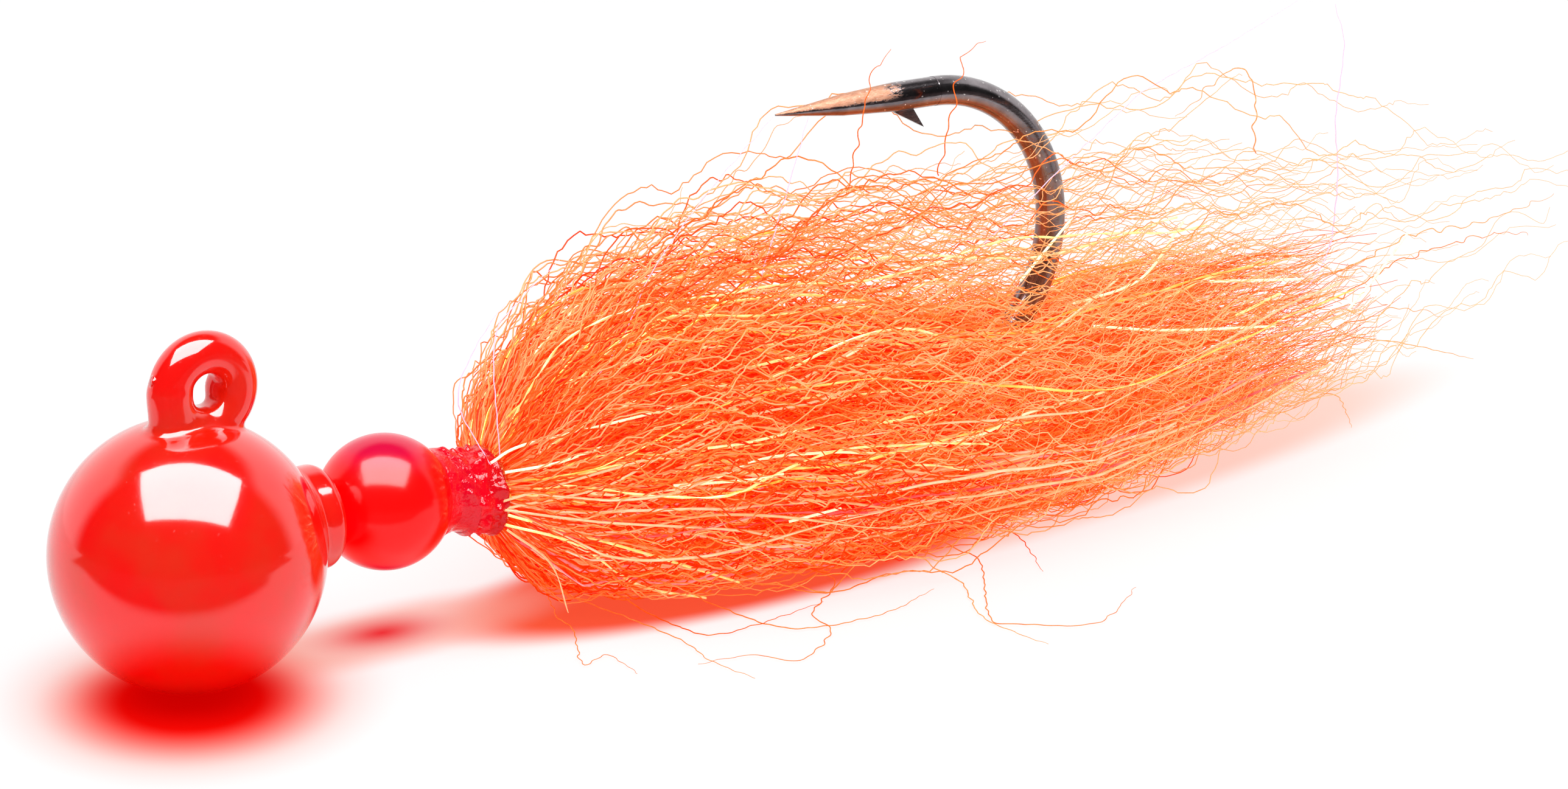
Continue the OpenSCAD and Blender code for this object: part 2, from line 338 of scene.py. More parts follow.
@dataclass(frozen=True)
class BlackNickel:
    """Satin black nickel, worn to copper along the top of the point."""

    name: str = "black_nickel"
    colour: Colour = (0.17, 0.150, 0.158)
    grey: Colour = (0.32, 0.285, 0.30)
    copper: Colour = (0.44, 0.18, 0.09)
    pale_copper: Colour = (0.64, 0.32, 0.20)
    roughness: float = 0.15
    worn_end: float = 0.0
    worn_height: float = 0.0

    def material(self) -> bpy.types.Material:
        """Build the material, with the wear along the point's upper side.

        Returns:
            The finished material.
        """
        material, shop = new_material(self.name)
        point = shop.object_point()
        along, up = shop.split(point, 0), shop.split(point, 2)
        facing_up = shop.split(shop.node("ShaderNodeTexCoord", output="Normal"), 2)
        cloud = shop.noise(point, 1.4 * MM, detail=4.0, rough=0.65)
        base = shop.blend(cloud.step(0.30, 0.75), self.colour, self.grey)
        grain = shop.noise(point, 0.10 * MM, detail=3.0, rough=0.7, stretch=(0.35, 1.0, 1.0))
        reach = (grain - 0.5) * (3.0 * MM) + along
        near_tip = reach.step(self.worn_end + 0.5 * MM, self.worn_end - 0.4 * MM)
        on_limb = up.step(self.worn_height - 1.6 * MM, self.worn_height - 0.9 * MM)
        upper = ((grain - 0.5) * 0.7 + facing_up).step(0.05, 0.30)
        worn = near_tip * on_limb * upper
        colour = shop.blend(worn, base, shop.blend(grain.step(0.35, 0.7), self.copper, self.pale_copper))
        speck = shop.noise(point, 0.13 * MM, detail=0.0).step(0.77, 0.81)
        colour = shop.blend(speck * 0.8, colour, (0.85, 0.82, 0.80))
        scratch = shop.noise(point, 0.05 * MM, detail=2.0, stretch=(0.12, 1.0, 1.0))
        finish_surface(shop, {
            "Base Color": colour,
            "Metallic": 1.0 - worn * 0.75 - speck * 0.3,
            "Roughness": worn * 0.38 + cloud * 0.10 + (self.roughness - 0.04),
            "Normal": shop.bump(scratch * 0.35 + grain * worn, 0.008 * MM),
        })
        return material


@dataclass(frozen=True)
class BeadPlastic:
    """Translucent crimson plastic."""

    name: str = "bead_plastic"
    colour: Colour = (0.95, 0.0, 0.0)
    deep: Colour = (0.62, 0.0, 0.045)
    centre: Vector | None = None
    radius: float = 1.0

    def material(self) -> bpy.types.Material:
        """Build the material, with a cloudy colour, painted shade at the top and foot, a darker patch right of the
        middle, a painted glow and a soft skin.

        Returns:
            The finished material.
        """
        material, shop = new_material(self.name)
        point = shop.object_point()
        cloud = shop.noise(point, 2.2 * MM, detail=2.0)
        skin = shop.noise(point, 0.5 * MM, detail=2.0)
        height = (shop.split(point, 2) - self.centre.z) * (1.0 / self.radius)
        # Painted shade: the bead turns deeper crimson towards its top and foot.
        shaded_top_and_foot = (height * height).step(0.25, 0.95)
        along = (shop.split(point, 0) - self.centre.x) * (1.0 / self.radius)
        colour = shop.blend((cloud * 0.35 + shaded_top_and_foot * 0.9).step(0.1, 1.1), self.colour, self.deep)
        # A darker patch right of the bead's middle.
        right_dark_patch = (cloud * 0.6 + along).step(0.95, 1.15) * (height * height).step(0.12, 0.0)
        colour = shop.blend(right_dark_patch * 0.6, colour, (0.36, 0.0, 0.004))
        finish_surface(shop, {
            "Base Color": colour,
            "Roughness": cloud * 0.06 + 0.13,
            "IOR": 1.49,
            "Transmission Weight": 0.05,
            "Specular IOR Level": 0.3,
            # Painted glow: the bead gives off a little light in its own colour.
            "Emission Color": colour,
            "Emission Strength": 0.22,
            "Coat Weight": 0.1,
            "Coat Roughness": 0.18,
            "Normal": shop.bump(skin, 0.004 * MM),
        })
        return material


@dataclass(frozen=True)
class Cement:
    """Glossy cement, clear or tinted, with tiny bubbles in its skin."""

    name: str
    colour: Colour
    deep: Colour
    transmission: float
    glow: float = 0.1
    rear: float = 1.0
    front: float = 0.0

    def material(self) -> bpy.types.Material:
        """Build the material; the colour goes from colour at the front to deep at the rear.

        Returns:
            The finished material.
        """
        material, shop = new_material(self.name)
        point = shop.object_point()
        cloud = shop.noise(point, 0.55 * MM, detail=3.0)
        back = shop.split(point, 0).step(self.front, self.rear)
        share = (back * 0.75 + cloud * 0.55).step(0.25, 0.95)
        bubble = shop.noise(point, 0.12 * MM, detail=1.0)
        finish_surface(shop, {
            "Base Color": shop.blend(share, self.colour, self.deep),
            "Roughness": cloud * 0.10 + 0.06,
            "IOR": 1.42,
            "Transmission Weight": self.transmission,
            # Painted glow: the cement gives off a little light in its own colour, as strong as glow.
            "Emission Color": shop.blend(share, self.colour, self.deep),
            "Emission Strength": self.glow,
            "Coat Weight": 0.1,
            "Coat Roughness": 0.03,
            "Normal": shop.bump(bubble + cloud, 0.035 * MM),
        })
        return material


@dataclass(frozen=True)
class Thread:
    """Waxed tying thread, twisted from fine filaments."""

    name: str
    colour: Colour
    dark: Colour

    def material(self) -> bpy.types.Material:
        """Build the material, with fine filaments across the turns.

        Returns:
            The finished material.
        """
        material, shop = new_material(self.name)
        point = shop.object_point()
        fine = shop.noise(point, 0.07 * MM, detail=3.0, stretch=(1.0, 0.3, 0.3))
        finish_surface(shop, {
            "Base Color": shop.blend(fine.step(0.3, 0.7), self.dark, self.colour),
            "Roughness": 0.55 - fine * 0.2,
            "Sheen Weight": 0.2,
            "Normal": shop.bump(fine, 0.02 * MM),
        })
        return material


@dataclass(frozen=True)
class CastLead:
    """Dull grey cast metal."""

    name: str = "cast_lead"
    colour: Colour = (0.30, 0.31, 0.33)

    def material(self) -> bpy.types.Material:
        """Build the material, with a grainy oxidised skin.

        Returns:
            The finished material.
        """
        material, shop = new_material(self.name)
        point = shop.object_point()
        grain = shop.noise(point, 0.4 * MM, detail=4.0)
        finish_surface(shop, {
            "Base Color": shop.blend(grain.step(0.3, 0.7), self.colour, (0.18, 0.18, 0.20)),
            "Metallic": 0.7,
            "Roughness": grain * 0.2 + 0.45,
            "Normal": shop.bump(grain, 0.02 * MM),
        })
        return material


@dataclass(frozen=True)
class StrandFinish:
    """Finish of loose strands: tone runs across the strand map and length runs up it."""

    name: str
    tones: Stops
    roughness: float
    metallic: float = 0.0
    coat: float = 0.0
    root_shade: float = 0.25
    mottle: float = 0.5
    glow: float = 0.25
    specular: float = 0.3
    tip_lift: float = 0.0

    def material(self) -> bpy.types.Material:
        """Build the material, with shade at the root and mottling along each strand.

        Returns:
            The finished material.
        """
        material, shop = new_material(self.name)
        uv = shop.node("ShaderNodeUVMap", {"uv_map": STRAND_UV})
        tone = shop.split(uv, 0)
        length = shop.split(uv, 1)
        mottle = shop.noise(uv, 1.0, detail=2.0, stretch=(260.0, 46.0, 1.0))
        shifted = (mottle - 0.5) * self.mottle + tone + length.step(0.35, 1.0) * self.tip_lift
        colour = shop.ramp(shifted, self.tones)
        root = length.step(0.22, 0.0) * self.root_shade
        colour = shop.blend(root, colour, self.tones[0][1])
        finish_surface(shop, {
            "Base Color": colour,
            "Roughness": (mottle - 0.5) * 0.3 + self.roughness,
            "Metallic": self.metallic,
            "Coat Weight": self.coat,
            "Specular IOR Level": self.specular,
            # Painted glow: on hair it stands for light scattered through the fibres, on film strands for their
            # glints.
            "Emission Color": colour,
            "Emission Strength": self.glow,
        })
        return material


@dataclass(frozen=True)
class HairMat:
    """Deep orange packed hair, streaked along the lure; its deep red is the painted shade of the gaps between
    fibres, and it has a painted glow.
    """

    name: str = "hair_mat"

    def material(self) -> bpy.types.Material:
        """Build the material, with streaks along the hair.

        Returns:
            The finished material.
        """
        material, shop = new_material(self.name)
        point = shop.object_point()
        streak = shop.noise(point, 0.16 * MM, detail=4.0, rough=0.6, stretch=(0.08, 1.0, 1.0))
        lock = shop.noise(point, 1.6 * MM, detail=2.0, stretch=(0.15, 1.0, 1.0))
        share = streak * 0.6 + lock * 0.5
        # Painted shade: these stops are the deep red of the shaded gaps between the fibres; the emission is a
        # painted glow.
        stops = [(0.30, (0.95, 0.002, 0.0)), (0.52, (1.0, 0.022, 0.0)), (0.75, (1.0, 0.085, 0.006))]
        finish_surface(shop, {
            "Base Color": shop.ramp(share, stops),
            "Roughness": streak * 0.3 + 0.45,
            "Specular IOR Level": 0.05,
            "Emission Color": shop.ramp(share, stops),
            "Emission Strength": 0.45,
            "Normal": shop.bump(streak + lock, 0.25 * MM),
        })
        return material


def place(vertices: np.ndarray, centre: Vector) -> np.ndarray:
    """Move millimetres about the ball's centre into the row's metres.

    Args:
        vertices: Points in millimetres about the ball's centre.
        centre: The ball's centre in the row frame.

    Returns:
        The points in the row frame, in metres.
    """
    return vertices * MM + np.array(centre)


def deselect() -> None:
    """Leave nothing selected, so that the next operator acts on its own piece."""
    bpy.ops.object.select_all(action="DESELECT")


def dress(piece: bpy.types.Object, material: bpy.types.Material) -> None:
    """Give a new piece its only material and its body.

    Args:
        piece: The piece.
        material: Its material.
    """
    piece.data.materials.clear()
    piece.data.materials.append(material)
    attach(piece, BODY)
    LOG.info("%s: %d faces", piece.name, len(piece.data.polygons))


def dress_node(node: bpy.types.Object, material: bpy.types.Material) -> None:
    """Give a node of the model a better material.

    Args:
        node: The node's object.
        material: Its material.
    """
    for slot in node.material_slots:
        slot.material = material
    LOG.info("%s: carried over", node.name)


def make_mesh(name: str, vertices: np.ndarray, faces: list[np.ndarray]) -> bpy.types.Object:
    """Make an object from arrays.

    Args:
        name: The piece's name.
        vertices: Its points, in metres.
        faces: Arrays of corners, each array for faces of one kind.

    Returns:
        The linked object.
    """
    mesh = bpy.data.meshes.new(name)
    corners = np.concatenate([kind.reshape(-1) for kind in faces])
    counts = np.concatenate([np.full(len(kind), kind.shape[1]) for kind in faces])
    starts = np.concatenate([[0], np.cumsum(counts)[:-1]])
    mesh.vertices.add(len(vertices))
    mesh.vertices.foreach_set("co", vertices.astype(np.float32).reshape(-1))
    mesh.loops.add(len(corners))
    mesh.loops.foreach_set("vertex_index", corners.astype(np.int32))
    mesh.polygons.add(len(counts))
    mesh.polygons.foreach_set("loop_start", starts.astype(np.int32))
    mesh.polygons.foreach_set("use_smooth", np.ones(len(counts), dtype=bool))
    mesh.update(calc_edges=True)
    mesh.validate()
    piece = bpy.data.objects.new(name, mesh)
    bpy.context.scene.collection.objects.link(piece)
    return piece


@dataclass
class Layout:
    """Places and sizes that every class shares, in millimetres about the ball's centre."""

    ball_r: float
    centre: Vector
    shank_z: float
    collar_end: float
    bead_x: float
    bead_r: float
    bead_hole_r: float
    tie_x: float
    tie_end: float
    tie_z: float
    tie_r: float
    eye: Vector
    hook_top: float
    hair_x: float
    hair_len: float

    @classmethod
    def from_frame(cls) -> Layout:
        """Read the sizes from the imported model.

        Returns:
            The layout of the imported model.
        """
        low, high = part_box("head_paint")
        ball_r = (high.y - low.y) / 2
        centre = Vector((low.x + ball_r, 0.0, low.z + ball_r))

        def span(node: str) -> tuple[Vector, Vector]:
            """Give a node's corners in millimetres about the ball's centre."""
            node_low, node_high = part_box(node)
            return (node_low - centre) / MM, (node_high - centre) / MM

        bead_low, bead_high = span("bead")
        tie_low, tie_high = span("head_cement")
        base_low, base_high = span("thread_base")
        hook_low, hook_high = span("hook")
        hair_low, hair_high = span("hair_core")
        bead_r = (bead_high.y - bead_low.y) / 2
        half_hole = (bead_high.x - bead_low.x) / 2
        return cls(
            ball_r=ball_r / MM,
            centre=centre,
            shank_z=(base_low.z + base_high.z) / 2,
            collar_end=(high.x - centre.x) / MM,
            bead_x=(bead_low.x + bead_high.x) / 2,
            bead_r=bead_r,
            bead_hole_r=math.sqrt(bead_r ** 2 - half_hole ** 2),
            tie_x=tie_low.x,
            tie_end=tie_high.x,
            tie_z=(tie_low.z + tie_high.z) / 2,
            tie_r=(tie_high.y - tie_low.y) / 2,
            eye=-centre / MM,
            hook_top=hook_high.z,
            hair_x=hair_low.x,
            hair_len=hair_high.x - hair_low.x,
        )


@dataclass
class PaintFilm:
    """One continuous paint film over the ball, the collar, the riser and the eye."""

    layout: Layout
    voxel: float = 0.11
    collar_r: float = 2.3
    collar_round: float = 0.5
    riser_x: float = -0.64
    wire_r: float = 0.95
    ring_r: float = 1.6
    hole_r: float = 0.72
    drip_r: float = 0.22
    drip_at: tuple[float, float] = (-2.62, 0.84)
    clog_r: float = 0.68
    clog_at: Colour = (1.2, 0.5, -0.22)
    clog_blend: float = 0.5
    base_blend: float = 0.4
    ring_blend: float = 0.22
    collar_blend: float = 0.3
    fit_steps: int = 4

    def distance(self, p: np.ndarray) -> np.ndarray:
        """Give the signed distance from the film's surface.

        Args:
            p: Points in millimetres about the ball's centre.

        Returns:
            The distances, negative inside.
        """
        eye = self.layout.eye
        ball = np.linalg.norm(p, axis=1) - self.layout.ball_r
        across = np.hypot(p[:, 1], p[:, 2] - self.layout.shank_z) - (self.collar_r - self.collar_round)
        half = (self.layout.collar_end - self.collar_round) / 2
        along = np.abs(p[:, 0] - half) - half
        outside = np.hypot(np.maximum(across, 0), np.maximum(along, 0))
        collar = outside + np.minimum(np.maximum(across, along), 0) - self.collar_round
        riser_top = np.clip(p[:, 2], 0, eye.z)
        riser = np.sqrt((p[:, 0] - self.riser_x) ** 2 + p[:, 1] ** 2 + (p[:, 2] - riser_top) ** 2)
        riser = riser - self.wire_r
        ring = np.hypot(p[:, 0] - eye.x, p[:, 2] - eye.z) - self.ring_r
        ring = np.hypot(ring, p[:, 1]) - self.wire_r
        drip_at = np.array([eye.x + self.drip_at[0], 0.0, eye.z + self.drip_at[1]])
        drip = np.linalg.norm(p - drip_at, axis=1) - self.drip_r
        clog = np.linalg.norm(p - np.array(eye) - np.array(self.clog_at), axis=1) - self.clog_r
        loop = self.join(self.join(riser, ring, self.ring_blend), drip, self.ring_blend)
        head = self.join(ball, collar, self.collar_blend)
        film = self.join(head, loop, self.base_blend)
        hole = self.hole_r - np.hypot(p[:, 0] - eye.x, p[:, 2] - eye.z)
        film = -self.join(-film, -hole, self.ring_blend)
        return self.join(film, clog, self.clog_blend)

    @staticmethod
    def join(first: np.ndarray, second: np.ndarray, blend: float) -> np.ndarray:
        """Join two distances with a round fillet.

        Args:
            first: The first distance.
            second: The second distance.
            blend: The size of the fillet.

        Returns:
            The joined distance.
        """
        share = np.clip(0.5 + 0.5 * (second - first) / blend, 0, 1)
        return second + (first - second) * share - blend * share * (1 - share)

    def slope(self, p: np.ndarray) -> np.ndarray:
        """Give the outward direction of the surface at each point.

        Args:
            p: Points in millimetres about the ball's centre.

        Returns:
            Unit vectors.
        """
        step = 0.01
        parts = []
        for axis in np.eye(3) * step:
            parts.append(self.distance(p + axis) - self.distance(p - axis))
        grad = np.stack(parts, axis=1)
        return grad / np.linalg.norm(grad, axis=1, keepdims=True)

    def build(self) -> bpy.types.Object:
        """Join plain forms, remesh them and draw every point onto the film's surface.

        Returns:
            The dressed film.
        """
        lay = self.layout
        deselect()
        made = []
        bpy.ops.mesh.primitive_uv_sphere_add(segments=96, ring_count=48, radius=lay.ball_r)
        made.append(bpy.context.object)
        collar_len = lay.collar_end
        bpy.ops.mesh.primitive_cylinder_add(vertices=64, radius=self.collar_r, depth=collar_len,
                                            location=(collar_len / 2, 0, lay.shank_z),
                                            rotation=(0, math.pi / 2, 0))
        made.append(bpy.context.object)
        bpy.ops.mesh.primitive_cylinder_add(vertices=48, radius=self.wire_r * 1.1, depth=lay.eye.z,
                                            location=(self.riser_x, 0, lay.eye.z / 2))
        made.append(bpy.context.object)
        bpy.ops.mesh.primitive_torus_add(major_radius=self.ring_r, minor_radius=self.wire_r,
                                         major_segments=72, minor_segments=32,
                                         location=lay.eye, rotation=(math.pi / 2, 0, 0))
        made.append(bpy.context.object)
        for part in made:
            part.select_set(True)
        bpy.context.view_layer.objects.active = made[0]
        bpy.ops.object.join()
        film = bpy.context.object
        film.name = "paint_film"
        bpy.ops.object.transform_apply(location=True, rotation=True, scale=True)
        remesh = film.modifiers.new("one_skin", "REMESH")
        remesh.mode = "VOXEL"
        remesh.voxel_size = self.voxel
        remesh.use_smooth_shade = True
        bpy.ops.object.modifier_apply(modifier=remesh.name)
        count = len(film.data.vertices)
        points = np.empty(count * 3, np.float32)
        film.data.vertices.foreach_get("co", points)
        points = points.reshape(-1, 3).astype(float)
        for _ in range(self.fit_steps):
            points = points - self.distance(points)[:, None] * self.slope(points)
        normals = self.slope(points)
        film.data.vertices.foreach_set("co", place(points, lay.centre).astype(np.float32).reshape(-1))
        film.data.update()
        film.data.normals_split_custom_set_from_vertices([tuple(n) for n in normals])
        dress(film, PowderPaint().material())
        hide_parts("head_paint", "eye_paint")
        return film


@dataclass
class Bead:
    """The translucent bead, turned from a round profile with softened hole edges."""

    layout: Layout
    edge_r: float = 0.16
    rings: int = 40
    turns: int = 96

    def build(self) -> bpy.types.Object:
        """Spin the bead's outline about the shank.

        Returns:
            The dressed bead.
        """
        lay = self.layout
        start = math.asin(lay.bead_hole_r / lay.bead_r) + self.edge_r / lay.bead_r
        outline = []
        for i in range(self.rings + 1):
            angle = start + (math.pi - 2 * start) * i / self.rings
            outline.append((-lay.bead_r * math.cos(angle), lay.bead_r * math.sin(angle)))
        half_hole = lay.bead_r * math.cos(start) - self.edge_r
        for x in (half_hole, 0.0, -half_hole):
            outline.append((x, lay.bead_hole_r))
        mesh = bpy.data.meshes.new("bead_ball")
        points = [(lay.bead_x + x, 0.0, lay.shank_z + r) for x, r in outline]
        count = len(points)
        mesh.from_pydata(points, [(i, (i + 1) % count) for i in range(count)], [])
        bead = bpy.data.objects.new("bead_ball", mesh)
        bpy.context.scene.collection.objects.link(bead)
        deselect()
        bead.select_set(True)
        bpy.context.view_layer.objects.active = bead
        bpy.ops.object.mode_set(mode="EDIT")
        bpy.ops.mesh.select_all(action="SELECT")
        bpy.ops.mesh.spin(steps=self.turns, angle=TURN, axis=(1, 0, 0),
                          center=(lay.bead_x, 0, lay.shank_z))
        bpy.ops.mesh.select_all(action="SELECT")
        bpy.ops.mesh.remove_doubles(threshold=0.001)
        bpy.ops.mesh.normals_make_consistent(inside=False)
        bpy.ops.object.mode_set(mode="OBJECT")
        bpy.ops.object.shade_smooth()
        bead.data.transform(Matrix.Translation(lay.centre) @ Matrix.Scale(MM, 4))
        middle = lay.centre + Vector((lay.bead_x, 0.0, lay.shank_z)) * MM
        dress(bead, BeadPlastic(centre=middle, radius=lay.bead_r * MM).material())
        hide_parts("bead")
        return bead


def waves(rng: np.random.Generator, count: int, s: np.ndarray, lengths: tuple[float, ...]) -> np.ndarray:
    """Give smooth random curves, one for each strand.

    Args:
        rng: The seeded generator.
        count: How many curves there are.
        s: Places along the strands, as count rows or as one row for all.
        lengths: The wave lengths that are summed, in the unit of s.

    Returns:
        The curves, about -1 to 1.
    """
    total = np.zeros((count, s.shape[-1]))
    for wave in lengths:
        own = wave * rng.uniform(0.75, 1.3, (count, 1))
        phase = rng.uniform(0, TURN, (count, 1))
        total += np.sin(TURN * s / own + phase)
    return total / math.sqrt(len(lengths))


@dataclass
class Tube:
    """Turns strand paths into one mesh of thin closed tubes or strips."""

    name: str
    sides: int = 3
    half_wide: float = 0.045
    half_thick: float = 0.045
    tip_share: float = 0.35

    def build(self, paths: np.ndarray, across: np.ndarray, twist: np.ndarray, tones: np.ndarray,
              centre: Vector) -> bpy.types.Object:
        """Sweep a small outline along each path.

        Args:
            paths: Points of each strand, in millimetres about the ball's centre.
            across: For each strand, a direction that its path never takes.
            twist: The outline's turn at each point, in radians.
            tones: The tone of each strand, from 0 to 1.
            centre: The ball's centre in the row frame.

        Returns:
            The linked mesh, with its strand map.
        """
        count, steps, _ = paths.shape
        ahead = np.gradient(paths, axis=1)
        ahead /= np.linalg.norm(ahead, axis=2, keepdims=True) + 1e-9
        side = across[:, None, :] - np.sum(ahead * across[:, None, :], axis=2, keepdims=True) * ahead
        side /= np.linalg.norm(side, axis=2, keepdims=True) + 1e-9
        up = np.cross(ahead, side)
        length = np.linspace(0, 1, steps)
        taper = 1 - (1 - self.tip_share) * length ** 3
        rings = []
        for k in range(self.sides):
            corner = TURN * (k + 0.5) / self.sides
            wide = np.cos(corner) * self.half_wide
            thick = np.sin(corner) * self.half_thick
            turned_side = (wide * np.cos(twist) - thick * np.sin(twist)) * taper
            turned_up = (wide * np.sin(twist) + thick * np.cos(twist)) * taper
            rings.append(paths + side * turned_side[..., None] + up * turned_up[..., None])
        vertices = np.stack(rings, axis=2).reshape(-1, 3)
        index = np.arange(count * steps * self.sides).reshape(count, steps, self.sides)
        following = np.roll(index, -1, axis=2)
        quads = np.stack([index[:, :-1], following[:, :-1], following[:, 1:], index[:, 1:]], axis=-1)
        quads = quads.reshape(-1, 4)
        first = index[:, 0, ::-1]
        last = index[:, -1, :]
        piece = make_mesh(self.name, place(vertices, centre), [quads, first, last])
        self._map(piece, count, steps, tones)
        return piece

    def _map(self, piece: bpy.types.Object, count: int, steps: int, tones: np.ndarray) -> None:
        """Write the strand map: tone across, length up.

        Args:
            piece: The mesh of all strands.
            count: How many strands there are.
            steps: How many points each has.
            tones: The tone of each strand.
        """
        per_strand = steps * self.sides
        corner = np.empty(len(piece.data.loops), np.int32)
        piece.data.loops.foreach_get("vertex_index", corner)
        strand = corner // per_strand
        along = (corner % per_strand) // self.sides / (steps - 1)
        around = (corner % self.sides) / self.sides
        u = TONE_FROM + TONE_SPAN * tones[strand] + STRAND_WIDTH * around
        v = LENGTH_FROM + LENGTH_SPAN * along
        layer = piece.data.uv_layers.new(name=STRAND_UV)
        layer.data.foreach_set("uv", np.stack([u, v], axis=1).astype(np.float32).reshape(-1))


class Side(Enum):
    """The six outer bunches, by the angle about the hair's middle line at which each starts."""

    UPPER_NEAR = ("hair_upper_near", 90.0)
    SIDE_NEAR = ("hair_side_near", 150.0)
    LOWER_NEAR = ("hair_lower_near", 210.0)
    LOWER_FAR = ("hair_lower_far", 270.0)
    SIDE_FAR = ("hair_side_far", 330.0)
    UPPER_FAR = ("hair_upper_far", 30.0)


@dataclass
class HairField:
    """The dense body and the thin veil above it that the hair fills, and the strands through them.

    Every outline is a row of distances behind the tie, each with its height or half width.
    """

    layout: Layout
    middle: Outline = (
        (0.0, 0.0), (2.6, 0.1), (7.2, 0.4), (15.6, -0.5), (21.6, -1.0), (28.2, -1.4), (34.6, -0.7),
        (40.6, -0.1), (44.6, 0.3), (50.6, 1.0), (56.6, 1.9), (64.6, 2.9))
    body_tall: Outline = (
        (0.0, 1.75), (0.8, 3.0), (2.6, 4.6), (7.2, 5.9), (15.6, 5.5), (21.6, 4.9), (28.2, 4.3),
        (34.6, 4.1), (40.6, 3.7), (44.6, 3.3), (50.6, 2.6), (56.6, 1.9), (64.6, 1.2))
    body_wide: Outline = (
        (0.0, 1.75), (0.8, 3.0), (2.6, 4.6), (7.2, 6.2), (15.6, 6.9), (21.6, 6.9), (28.2, 6.3),
        (34.6, 5.4), (40.6, 4.4), (44.6, 3.8), (50.6, 2.9), (56.6, 2.1), (64.6, 1.4))
    veil_tall: Outline = (
        (0.0, 1.75), (0.6, 2.8), (1.2, 3.8), (3.1, 6.2), (5.6, 8.2), (9.3, 10.2), (15.6, 12.0),
        (24.2, 12.7), (33.0, 12.3), (41.2, 10.4), (50.6, 6.8), (60.6, 3.6))
    veil_wide: Outline = (
        (0.0, 1.75), (0.8, 3.8), (2.6, 5.8), (7.2, 8.0), (15.6, 9.4), (24.0, 9.4), (33.0, 8.2),
        (41.0, 6.6), (50.6, 4.6), (60.6, 2.6))
    veil_under: float = 1.12
    floor_gap: float = 0.16
    start_back: float = 0.5

    def read(self, outline: Outline, run: np.ndarray) -> np.ndarray:
        """Read an outline at each distance.

        Args:
            outline: One of the outlines.
            run: Distances behind the tie.

        Returns:
            The outline's value at each.
        """
        places, values = zip(*outline)
        return np.interp(run, places, values)

    def middle_z(self, run: np.ndarray) -> np.ndarray:
        """Give the height of the hair's middle line above the ball's centre."""
        return self.layout.tie_z + self.read(self.middle, run)

    def reach(self, run: np.ndarray, angle: np.ndarray, veil: np.ndarray) -> tuple[np.ndarray, np.ndarray]:
        """Give the half width and the half height of the hair.

        Args:
            run: Distances behind the tie.
            angle: Angles about the middle line, from +Y.
            veil: How far from the body's face out to the veil's, from 0 to 1.

        Returns:
            Half widths and half heights.
        """
        wide, tall = self.read(self.body_wide, run), self.read(self.body_tall, run)
        veil_tall = np.where(np.sin(angle) > 0, self.read(self.veil_tall, run), tall * self.veil_under)
        return (wide + veil * (self.read(self.veil_wide, run) - wide),
                tall + veil * (veil_tall - tall))

    def paths(self, rng: np.random.Generator, angle: np.ndarray, share: np.ndarray, veil: np.ndarray,
              length: np.ndarray, steps: int, loose: float, crinkle: float,
              fine: tuple[float, float] = (1.45, 2.3), weave: float = 0.09) -> np.ndarray:
        """Run strands through the field.

        Args:
            rng: The seeded generator.
            angle: The angle of each strand about the middle line.
            share: How far out each strand lies, as a share of the body's outline.
            veil: How far each strand stands out towards the veil's outline, from 0 to 1.
            length: How far each strand reaches behind the tie.
            steps: How many points each has.
            loose: The size of the slow wander, in millimetres.
            crinkle: The size of the fine waves, in millimetres.
            fine: The lengths of the fine waves, in millimetres.
            weave: How far each strand weaves in and out, as a share of its radius.

        Returns:
            The points of each strand, evenly spaced.
        """
        count = len(angle)
        u = np.linspace(0, 1, 2 * steps)
        run = length[:, None] * u ** 1.7
        slow = waves(rng, count, u[None, :], (0.9, 0.5))
        lean = angle[:, None] + slow * 0.10 + rng.normal(0, 0.16, (count, 1)) * u
        out = share[:, None] * (1 + weave * waves(rng, count, u[None, :], (0.8, 0.45)))
        spread = veil[:, None] * (1 + 0.16 * waves(rng, count, u[None, :], (0.9, 0.4)))
        wide, tall = self.reach(run, lean, spread)
        path = np.stack([self.layout.hair_x - self.start_back + run, out * wide * np.cos(lean),
                         self.middle_z(run) + out * tall * np.sin(lean)], axis=2)
        path = self.even(path, steps)
        s = np.concatenate([np.zeros((count, 1)),
                            np.cumsum(np.linalg.norm(np.diff(path, axis=1), axis=2), axis=1)], axis=1)
        free = np.clip(s / 7.0, 0, 1)
        calm = 1 - 0.45 * np.clip(veil, 0, 1)[:, None]
        for axis in (1, 2):
            path[..., axis] += free * loose * calm * waves(rng, count, s, (15.0, 8.0, 5.0)) * 0.6
        tilt = waves(rng, count, s, (9.0,)) * 2.5 + rng.uniform(0, TURN, (count, 1))
        wave = crinkle * np.clip(s / 2.0, 0, 1) * waves(rng, count, s, fine)
        path[..., 1] += wave * np.cos(tilt)
        path[..., 2] += wave * np.sin(tilt)
        return self.above_floor(path)

    def above_floor(self, path: np.ndarray) -> np.ndarray:
        """Lift what would sink into the ground, and let it spread there.

        Args:
            path: Points in millimetres about the ball's centre.

        Returns:
            The points, all above the ground.
        """
        low = -self.layout.ball_r + self.floor_gap
        soft = 0.5
        lifted = low + soft * np.logaddexp(0, (path[..., 2] - low) / soft) * 0.98
        near = path[..., 2] < low + 3 * soft
        path[..., 2] = np.where(near, np.maximum(lifted, low), path[..., 2])
        return path

